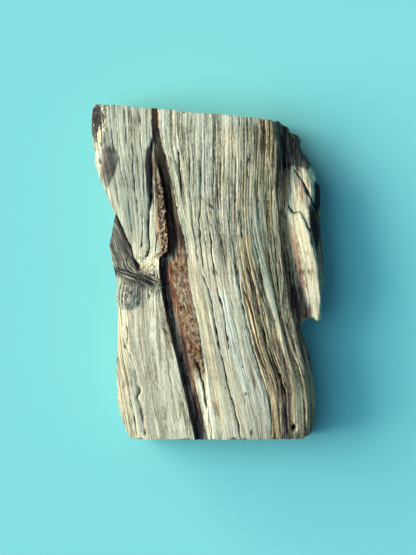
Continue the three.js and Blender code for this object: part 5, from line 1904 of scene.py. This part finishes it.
Colour = tuple[float, float, float]
Stops = tuple[tuple[float, Colour], ...]
Socket = bpy.types.NodeSocket
Value = Socket | float | tuple


def linear(colour: Colour) -> tuple[float, float, float, float]:
    """An sRGB colour as linear RGBA: ((c + 0.055) / 1.055)^2.4 above 0.04045, else c / 12.92."""
    return (*(c / 12.92 if c <= 0.04045 else ((c + 0.055) / 1.055) ** 2.4 for c in colour), 1.0)


class Shader:
    """Builds a node group: adds its sockets and nodes, and links them."""

    def __init__(self, name: str) -> None:
        """Starts an empty group.

        Args:
            name: The group's name.
        """
        self.tree = bpy.data.node_groups.new(name, "ShaderNodeTree")
        self.inside = self.tree.nodes.new("NodeGroupInput")
        self.outside = self.tree.nodes.new("NodeGroupOutput")

    def takes(self, name: str, kind: str) -> Socket:
        """Adds an input of a socket kind, and returns its socket inside the group."""
        self.tree.interface.new_socket(name, in_out="INPUT", socket_type=kind)
        return self.inside.outputs[name]

    def gives(self, name: str, source: Socket, kind: str = "NodeSocketFloat") -> None:
        """Adds an output of a socket kind, fed by source."""
        self.tree.interface.new_socket(name, in_out="OUTPUT", socket_type=kind)
        self.tree.links.new(source, self.outside.inputs[name])

    def feed(self, socket: Socket, value: Value) -> None:
        """Links a value to a socket, or sets it there where it is a plain number or colour.

        Args:
            socket: The input that is fed.
            value: What feeds it.
        """
        if isinstance(value, bpy.types.NodeSocket):
            self.tree.links.new(value, socket)
        else:
            socket.default_value = value

    def maths(self, operation: str, a: Value, b: Value = 0.0, clamp: bool = False) -> Socket:
        """One Math node's result.

        Args:
            operation: The node's operation.
            a: First value.
            b: Second value.
            clamp: Whether to hold the result between 0 and 1.

        Returns:
            The result's socket.
        """
        node = self.tree.nodes.new("ShaderNodeMath")
        node.operation = operation
        node.use_clamp = clamp
        self.feed(node.inputs[0], a)
        self.feed(node.inputs[1], b)
        return node.outputs[0]

    def add(self, a: Value, b: Value, clamp: bool = False) -> Socket:
        """a + b."""
        return self.maths("ADD", a, b, clamp)

    def less(self, a: Value, b: Value, clamp: bool = False) -> Socket:
        """a - b."""
        return self.maths("SUBTRACT", a, b, clamp)

    def times(self, a: Value, b: Value) -> Socket:
        """a * b."""
        return self.maths("MULTIPLY", a, b)

    def vectors(self, operation: str, *values: Value, result: int | str = 0) -> Socket:
        """One Vector Math node's result.

        Args:
            operation: The node's operation.
            *values: Its inputs, in order.
            result: Number or name of the output that is wanted.

        Returns:
            The result's socket.
        """
        node = self.tree.nodes.new("ShaderNodeVectorMath")
        node.operation = operation
        for socket, value in zip(node.inputs, values):
            self.feed(socket, value)
        return node.outputs[result]

    def stretched(self, vector: Socket, scale: Colour) -> Socket:
        """A vector multiplied by scale, part by part."""
        return self.vectors("MULTIPLY", vector, scale)

    def shifted(self, vector: Socket, amount: Socket) -> Socket:
        """A vector with its first part moved.

        Args:
            vector: The vector.
            amount: How far to move.

        Returns:
            The moved vector.
        """
        node = self.tree.nodes.new("ShaderNodeCombineXYZ")
        self.feed(node.inputs[0], amount)
        return self.vectors("ADD", vector, node.outputs[0])

    def off_middle(self, value: Value, scale: float) -> Socket:
        """(value - 0.5) * scale."""
        return self.times(self.less(value, 0.5), scale)

    def line(self, value: Socket, width: float) -> Socket:
        """1 on the contour where value is 0.5, falling to 0 where it is width away."""
        away = self.maths("ABSOLUTE", self.less(value, 0.5))
        return self.span(away, 0.0, width, 1.0, 0.0)

    def either(self, amount: Socket, a: Value, b: Value) -> Socket:
        """a + (b - a) * amount."""
        return self.add(a, self.times(self.less(b, a), amount))

    def bump_of(self, amount: Socket) -> Socket:
        """4 a (1 - a): 0 where a is 0 or 1, 1 halfway."""
        rest = self.less(1.0, amount)
        return self.times(self.times(amount, rest), 4.0)

    def noise(self, vector: Socket, detail: float, roughness: float = 0.5) -> Socket:
        """A noise texture's value.

        Args:
            vector: Where, already in cells.
            detail: How many finer layers it has.
            roughness: How strong the finer layers are.

        Returns:
            The value's socket.
        """
        node = self.tree.nodes.new("ShaderNodeTexNoise")
        self.feed(node.inputs["Vector"], vector)
        for name, value in (("Scale", 1.0), ("Detail", detail), ("Roughness", roughness)):
            node.inputs[name].default_value = value
        return node.outputs["Fac"]

    def span(
        self, value: Socket, low: float, high: float, to_low: float = 0.0, to_high: float = 1.0
    ) -> Socket:
        """Maps a range onto another one, smoothly, and holds the result at the ends.

        Args:
            value: What is mapped.
            low: Where the range starts.
            high: Where it ends.
            to_low: Result at low.
            to_high: Result at high.

        Returns:
            The result's socket.
        """
        node = self.tree.nodes.new("ShaderNodeMapRange")
        node.interpolation_type = "SMOOTHSTEP"
        self.feed(node.inputs["Value"], value)
        for name, number in zip(("From Min", "From Max", "To Min", "To Max"), (low, high, to_low, to_high)):
            node.inputs[name].default_value = number
        return node.outputs["Result"]

    def ramp(self, value: Socket, stops: Stops) -> Socket:
        """A colour ramp.

        Args:
            value: Where on the ramp.
            stops: The ramp's (position, sRGB colour) stops.

        Returns:
            The colour's socket.
        """
        node = self.tree.nodes.new("ShaderNodeValToRGB")
        elements = node.color_ramp.elements
        while len(elements) < len(stops):
            elements.new(0.5)
        for element, (position, colour) in zip(elements, stops):
            element.position = position
            element.color = linear(colour)
        self.feed(node.inputs[0], value)
        return node.outputs["Color"]

    def mixed(self, kind: str, amount: Value, a: Value, b: Value) -> Socket:
        """One Mix node's result.

        Args:
            kind: RGBA for colours or VECTOR for vectors.
            amount: 0 for a, 1 for b.
            a: First value.
            b: Second value.

        Returns:
            The result's socket.
        """
        node = self.tree.nodes.new("ShaderNodeMix")
        node.data_type = kind
        first, second = [s for s in node.inputs if s.type == kind][-2:]
        self.feed(node.inputs[0], amount)
        self.feed(first, a)
        self.feed(second, b)
        return next(s for s in node.outputs if s.type == kind)

    def blend(self, amount: Value, a: Value, b: Value) -> Socket:
        """Mixes colour a towards b."""
        return self.mixed("RGBA", amount, a, b)

    def choose(self, mask: Socket, a: Socket, b: Socket) -> Socket:
        """Vector b where mask is above 0.5, and else vector a."""
        return self.mixed("VECTOR", self.maths("GREATER_THAN", mask, 0.5), a, b)

    def parts(self, colour: Socket) -> list[Socket]:
        """Takes a colour apart.

        Args:
            colour: The colour.

        Returns:
            Its red, green and blue parts.
        """
        node = self.tree.nodes.new("ShaderNodeSeparateColor")
        self.feed(node.inputs[0], colour)
        return list(node.outputs)


@dataclass(frozen=True)
class WoodFinish:
    """Colours (sRGB) and surface of the weathered wood.

    Each ramp runs from furrow to crest. A field ending in cells says how many noise cells lie in a
    millimetre across and along the grain, or in a metre of the stick for specks, clouds, grains and
    sway; a swing says how far that noise moves the ramps, and a line gives the width and the depth of
    the dark line on the noise's contour, which line_lift makes up for. left_in says how much of the
    fine grain is left where lumps or grains take its place.
    """

    name: str = "weathered_wood"
    weathered: Stops = (
        (0.0, (0.245, 0.22, 0.195)), (0.28, (0.48, 0.495, 0.435)), (0.5, (0.64, 0.69, 0.62)),
        (0.72, (0.74, 0.785, 0.71)), (1.0, (0.87, 0.89, 0.81)),
    )
    olive: Stops = (
        (0.0, (0.22, 0.16, 0.13)), (0.3, (0.49, 0.43, 0.32)),
        (0.6, (0.735, 0.665, 0.51)), (1.0, (0.945, 0.885, 0.70)),
    )
    pale: Stops = (
        (0.0, (0.31, 0.28, 0.235)), (0.3, (0.585, 0.585, 0.505)),
        (0.6, (0.755, 0.775, 0.69)), (1.0, (0.895, 0.905, 0.82)),
    )
    fresh: Stops = (
        (0.0, (0.34, 0.28, 0.21)), (0.3, (0.61, 0.57, 0.45)),
        (0.6, (0.785, 0.765, 0.64)), (1.0, (0.93, 0.915, 0.79)),
    )
    blue: Stops = (
        (0.0, (0.34, 0.37, 0.36)), (0.35, (0.62, 0.67, 0.62)),
        (0.7, (0.80, 0.85, 0.80)), (1.0, (0.90, 0.94, 0.89)),
    )
    tan: Stops = (
        (0.0, (0.15, 0.12, 0.11)), (0.35, (0.40, 0.34, 0.26)),
        (0.7, (0.62, 0.55, 0.43)), (1.0, (0.80, 0.74, 0.61)),
    )
    heart: Stops = (
        (0.0, (0.20, 0.12, 0.12)), (0.4, (0.44, 0.29, 0.23)),
        (0.8, (0.66, 0.45, 0.35)), (1.0, (0.76, 0.58, 0.46)),
    )
    bark: Stops = (
        (0.0, (0.16, 0.105, 0.14)), (0.4, (0.275, 0.22, 0.235)),
        (0.7, (0.42, 0.36, 0.32)), (1.0, (0.68, 0.62, 0.50)),
    )
    knot: Stops = (
        (0.0, (0.15, 0.155, 0.15)), (0.4, (0.345, 0.37, 0.355)),
        (0.8, (0.56, 0.60, 0.56)), (1.0, (0.73, 0.765, 0.70)),
    )
    sawn: Stops = (
        (0.0, (0.36, 0.30, 0.23)), (0.4, (0.60, 0.54, 0.42)),
        (0.75, (0.74, 0.69, 0.56)), (1.0, (0.83, 0.79, 0.67)),
    )
    # The dark of grime and painted shade in checks, holes and gaps; then a check gap's blacker painted shade
    dirt: Colour = (0.13, 0.11, 0.135)
    crack: Colour = (0.06, 0.055, 0.07)
    wander_cells: Colour = (0.4, 0.09, 1.0)
    flutter_cells: Colour = (1.4, 0.32, 1.0)
    seam_cells: Colour = (0.50, 0.030, 1.0)
    thread_cells: Colour = (1.6, 0.038, 1.0)
    fibre_cells: Colour = (3.2, 0.095, 1.0)
    lump_cells: Colour = (3.4, 0.62, 1.0)
    speck_cells: Colour = (2000.0, 1000.0, 2000.0)
    cloud_cells: Colour = (120.0, 70.0, 120.0)
    grain_cells: Colour = (1700.0, 1150.0, 1700.0)
    sway_cells: Colour = (48.0, 0.0, 48.0)
    wander: float = 0.6
    flutter: float = 0.18
    thread_swing: float = 0.74
    fibre_swing: float = 1.2
    speck_swing: float = 0.66
    cloud_swing: float = 0.10
    lump_swing: float = 1.8
    grain_swing: float = 3.0
    seam_line: tuple[float, float] = (0.022, -0.34)
    thread_line: tuple[float, float] = (0.040, -0.40)
    fibre_line: tuple[float, float] = (0.055, -0.32)
    line_lift: float = 0.19
    calm_to_rough: tuple[float, float] = (0.5, 1.3)
    left_in_lumps: float = 0.4
    left_in_grains: float = 0.3
    ring_pitch: float = 1.9
    ring_centre: Colour = (9.0, 0.0, 38.0)
    roughness: float = 0.86
    roughness_swing: float = 0.16
    specular: float = 0.08
    bump: float = 1.0
    bump_distance: float = 0.00014

    def material(self) -> bpy.types.Material:
        """Builds the material.

        Returns:
            The new material.
        """
        made = bpy.data.materials.new(self.name)
        made.use_nodes = True
        tree = made.node_tree
        tree.nodes.clear()
        group = tree.nodes.new("ShaderNodeGroup")
        group.node_tree = self.colour_group()
        for name in CHANNELS:
            source = tree.nodes.new("ShaderNodeAttribute")
            source.attribute_name = name
            tree.links.new(source.outputs["Color"], group.inputs[name.capitalize()])
        for name in FLOWS:
            flow = tree.nodes.new("ShaderNodeUVMap")
            flow.uv_map = name
            tree.links.new(flow.outputs["UV"], group.inputs[name])
        place = tree.nodes.new("ShaderNodeTexCoord")
        tree.links.new(place.outputs["Object"], group.inputs["Place"])
        bump = tree.nodes.new("ShaderNodeBump")
        bump.inputs["Strength"].default_value = self.bump
        bump.inputs["Distance"].default_value = self.bump_distance
        tree.links.new(group.outputs["Height"], bump.inputs["Height"])
        surface = tree.nodes.new("ShaderNodeBsdfPrincipled")
        surface.inputs["Specular IOR Level"].default_value = self.specular
        tree.links.new(group.outputs["Color"], surface.inputs["Base Color"])
        tree.links.new(group.outputs["Roughness"], surface.inputs["Roughness"])
        tree.links.new(bump.outputs["Normal"], surface.inputs["Normal"])
        out = tree.nodes.new("ShaderNodeOutputMaterial")
        tree.links.new(surface.outputs["BSDF"], out.inputs["Surface"])
        return made

    def colour_group(self) -> bpy.types.NodeTree:
        """The wood's colour, roughness and fine height: a ramp over crest and fibre noise for the bare
        weathered wood, mixed with one ramp for each tint, and end grain with rings on the saw cuts.

        Returns:
            The node group.
        """
        g = Shader("Weathered Wood")
        channels = {name: g.parts(g.takes(name.capitalize(), "NodeSocketColor")) for name in CHANNELS}
        amounts = {tint: channels[tint.value[0]][tint.value[1]] for tint in Tint}
        grain, rib, flap = (g.takes(name, "NodeSocketVector") for name in FLOWS)
        grain = g.choose(amounts[Tint.ON_FLAP], g.choose(amounts[Tint.ON_RIB], grain, rib), flap)
        place = g.takes("Place", "NodeSocketVector")
        thread, fibre, speck, fine = self.fine_grain(g, amounts, grain, place)
        cloud = g.noise(g.stretched(place, self.cloud_cells), 2.0)
        cloudy = g.off_middle(cloud, self.cloud_swing)
        level = g.add(g.add(amounts[Tint.CREST], fine), cloudy, clamp=True)
        edge = g.add(g.off_middle(thread, 0.55), g.off_middle(fibre, 0.6))
        colour = g.ramp(level, self.weathered)
        for tint, stops in (
            (Tint.OLIVE, self.olive), (Tint.PALE, self.pale),
            (Tint.BLUE, self.blue), (Tint.TAN, self.tan),
            (Tint.FRESH, self.fresh), (Tint.HEART, self.heart),
            (Tint.KNOT, self.knot), (Tint.BARK, self.bark),
        ):
            amount = amounts[tint]
            reach = g.span(g.add(amount, g.times(edge, g.bump_of(amount))), 0.08, 0.92)
            colour = g.blend(reach, colour, g.ramp(level, stops))
        colour = g.blend(amounts[Tint.SAWN], colour, self.end_grain(g, place, speck))
        # Grime and painted shade darken the wood; the checks' sharp lines are painted shade of their gaps
        dirt = g.span(amounts[Tint.DIRT], 0.15, 0.85)
        crack = g.maths("MAXIMUM", *(
            self.sharp_line(g, amounts[offset], amounts[amount], fibre) for offset, amount in LINES.items()
        ))
        colour = g.blend(crack, g.blend(dirt, colour, linear(self.dirt)), linear(self.crack))
        swing = g.times(thread, self.roughness_swing)
        g.gives("Color", colour, "NodeSocketColor")
        g.gives("Roughness", g.add(self.roughness - 0.5 * self.roughness_swing, swing))
        g.gives("Height", g.less(fine, g.maths("MAXIMUM", dirt, crack)))
        return g.tree

    def fine_grain(
        self, g: Shader, amounts: dict[Tint, Socket], grain: Socket, place: Socket
    ) -> tuple[Socket, ...]:
        """The grain too fine for the mesh: threads and fibres with dark lines on their contours, and specks;
        lumps of torn fibres take its place where it is crumbly, and grains where it is gritty.

        Args:
            g: The group that it belongs to.
            amounts: Each tint's amount.
            grain: Coordinates across and along the grain, in millimetres.
            place: Where in the stick, in metres.

        Returns:
            The threads', the fibres' and the specks' noise, and the fine height.
        """
        wander = g.off_middle(g.noise(g.stretched(grain, self.wander_cells), 1.0), self.wander)
        flutter = g.off_middle(g.noise(g.stretched(grain, self.flutter_cells), 1.0), self.flutter)
        bent = g.shifted(grain, g.add(wander, flutter))
        seam = g.noise(g.stretched(bent, self.seam_cells), 0.0)
        thread = g.noise(g.stretched(bent, self.thread_cells), 1.0, 0.6)
        fibre = g.noise(g.stretched(bent, self.fibre_cells), 1.0, 0.6)
        speck = g.noise(g.stretched(place, self.speck_cells), 1.0, 0.6)
        fine = g.add(g.off_middle(thread, self.thread_swing), g.off_middle(fibre, self.fibre_swing))
        for value, (width, depth) in (
            (seam, self.seam_line), (thread, self.thread_line), (fibre, self.fibre_line),
        ):
            fine = g.add(fine, g.times(g.line(value, width), depth))
        fine = g.add(g.add(fine, g.off_middle(speck, self.speck_swing)), self.line_lift)
        fine = g.times(fine, g.span(amounts[Tint.ROUGH], 0.0, 1.0, *self.calm_to_rough))
        lumps = g.noise(g.stretched(grain, self.lump_cells), 2.0, 0.75)
        crumbly = g.add(g.off_middle(lumps, self.lump_swing), g.times(fine, self.left_in_lumps))
        fine = g.either(amounts[Tint.CRUMB], fine, crumbly)
        grains = g.noise(g.stretched(place, self.grain_cells), 1.0, 0.7)
        gritty = g.add(g.off_middle(grains, self.grain_swing), g.times(fine, self.left_in_grains))
        fine = g.either(amounts[Tint.GRIT], fine, gritty)
        return thread, fibre, speck, fine

    @staticmethod
    def sharp_line(g: Shader, offset: Socket, amount: Socket, fibre: Socket) -> Socket:
        """A check's sharp line, painted shade of its narrow gap, narrower where its amount is small and
        frayed by the fibres.

        Args:
            g: The group that it belongs to.
            offset: The line's offset, 0.5 on the line.
            amount: The line's amount.
            fibre: The fibres' noise.

        Returns:
            1 on the line and 0 beside it.
        """
        away = g.maths("ABSOLUTE", g.times(g.less(offset, 0.5), 2.0))
        away = g.less(g.add(away, g.off_middle(fibre, 0.12)), g.off_middle(amount, 0.20))
        return g.times(g.span(away, 0.0, 0.15, 1.0, 0.0), g.span(amount, 0.20, 0.95))

    def end_grain(self, g: Shader, place: Socket, speck: Socket) -> Socket:
        """Rings about a centre below the stick, a little uneven, with pores.

        Args:
            g: The group that they belong to.
            place: Where in the stick, in metres.
            speck: The specks' noise, which places the pores.

        Returns:
            The sawn ends' colour.
        """
        from_centre = g.vectors("MULTIPLY_ADD", place, (1 / MM, 0.0, 1 / MM), self.ring_centre)
        sway = g.noise(g.stretched(place, self.sway_cells), 1.0, 0.4)
        radius = g.add(g.vectors("LENGTH", from_centre, result="Value"), g.times(sway, 6.0))
        ring = g.maths("FRACT", g.maths("DIVIDE", radius, self.ring_pitch))
        late = g.times(g.span(ring, 0.30, 0.97, 0.0, 0.30), g.span(sway, 0.30, 0.70, 0.5, 1.2))
        pores = g.span(speck, 0.60, 0.72, 0.0, 0.35)
        return g.ramp(g.less(g.less(0.80, late), pores, clamp=True), self.sawn)


@dataclass(frozen=True)
class PaperFinish:
    """The plain pale turquoise paper that the stick lies on."""

    name: str = "turquoise_paper"
    colour: Colour = (0.475, 0.815, 0.835)
    roughness: float = 0.9
    specular: float = 0.1

    def material(self) -> bpy.types.Material:
        """Builds the material.

        Returns:
            The new material.
        """
        made = bpy.data.materials.new(self.name)
        made.use_nodes = True
        surface = made.node_tree.nodes["Principled BSDF"]
        surface.inputs["Base Color"].default_value = linear(self.colour)
        surface.inputs["Roughness"].default_value = self.roughness
        surface.inputs["Specular IOR Level"].default_value = self.specular
        return made


@dataclass
class PaloSantoStick:
    """The stick: its mesh and its finish."""

    shape: StickShape = field(default_factory=StickShape)
    finish: WoodFinish = field(default_factory=WoodFinish)

    def make(self) -> bpy.types.Object:
        """Builds and dresses the stick, and ties it to the CAD node.

        Returns:
            The piece.
        """
        piece = StickMesh(self.shape).build()
        piece.data.materials.append(self.finish.material())
        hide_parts(NODE)
        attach(piece, "root")
        return piece


@dataclass(frozen=True)
class Lamp:
    """A soft light far away: its direction in degrees (azimuth from +X towards +Y, elevation above the
    paper), how wide it looks, its strength and its colour."""

    name: str
    azimuth: float
    elevation: float
    spread: float
    strength: float
    colour: Colour

    def hang(self) -> None:
        """Adds the light to the scene."""
        data = bpy.data.lights.new(self.name, "SUN")
        data.angle = math.radians(self.spread)
        data.energy = self.strength
        data.color = linear(self.colour)[:3]
        lamp = bpy.data.objects.new(self.name, data)
        lamp.rotation_euler = (0.0, math.radians(90.0 - self.elevation), math.radians(self.azimuth))
        bpy.context.scene.collection.objects.link(lamp)


@dataclass
class Studio:
    """The paper, the light and the camera. Lengths are in metres, the sensor in millimetres."""

    half_width: float = 0.9
    lamps: tuple[Lamp, ...] = (
        Lamp("low_sun", 138.0, 13.0, 30.0, 3.0, (1.0, 0.82, 0.64)),
        Lamp("window", 174.0, 31.0, 44.0, 3.76, (1.0, 0.90, 0.80)),
        Lamp("skylight", 180.0, 60.0, 46.0, 1.70, (0.75, 0.912, 0.972)),
    )
    sky: Colour = (0.69, 0.86, 1.0)
    sky_strength: float = 0.25
    camera_height: float = 0.916
    sensor_mm: float = 36.0
    focus_z: float = 0.016
    frame_centre: tuple[float, float] = (0.00002, -0.00185)
    paper: PaperFinish = field(default_factory=PaperFinish)

    def floor(self) -> bpy.types.Object:
        """Lays the paper at z = 0, as part of the stage.

        Returns:
            The paper.
        """
        h = self.half_width
        mesh = bpy.data.meshes.new("paper")
        mesh.from_pydata([(-h, -h, 0), (h, -h, 0), (h, h, 0), (-h, h, 0)], [], [(0, 1, 2, 3)])
        made = bpy.data.objects.new("paper", mesh)
        made.data.materials.append(self.paper.material())
        bpy.context.scene.collection.objects.link(made)
        return made

    def light(self) -> None:
        """Sets the lamps, and the pale sky that fills the shadows."""
        for lamp in self.lamps:
            lamp.hang()
        world = bpy.data.worlds.new("sky")
        world.use_nodes = True
        background = world.node_tree.nodes["Background"]
        background.inputs["Color"].default_value = linear(self.sky)
        background.inputs["Strength"].default_value = self.sky_strength
        bpy.context.scene.world = world

    def camera(self) -> None:
        """Points a long lens straight down: its frame covers the photograph's width at the stick's middle."""
        data = bpy.data.cameras.new("camera")
        data.sensor_fit = "HORIZONTAL"
        data.sensor_width = self.sensor_mm
        wide = PHOTO.width * PHOTO.mm_per_pixel * MM
        data.lens = data.sensor_width * (self.camera_height - self.focus_z) / wide
        made = bpy.data.objects.new("camera", data)
        made.location = (*self.frame_centre, self.camera_height)
        bpy.context.scene.collection.objects.link(made)
        bpy.context.scene.camera = made

    def set_up(self) -> None:
        """Makes the whole studio."""
        self.floor()
        self.light()
        self.camera()
        bpy.context.scene.view_settings.view_transform = "Standard"


def main() -> None:
    """Builds the stick and its studio."""
    logging.basicConfig(level=logging.INFO)
    PaloSantoStick().make()
    Studio().set_up()


if __name__ == "__main__":
    main()
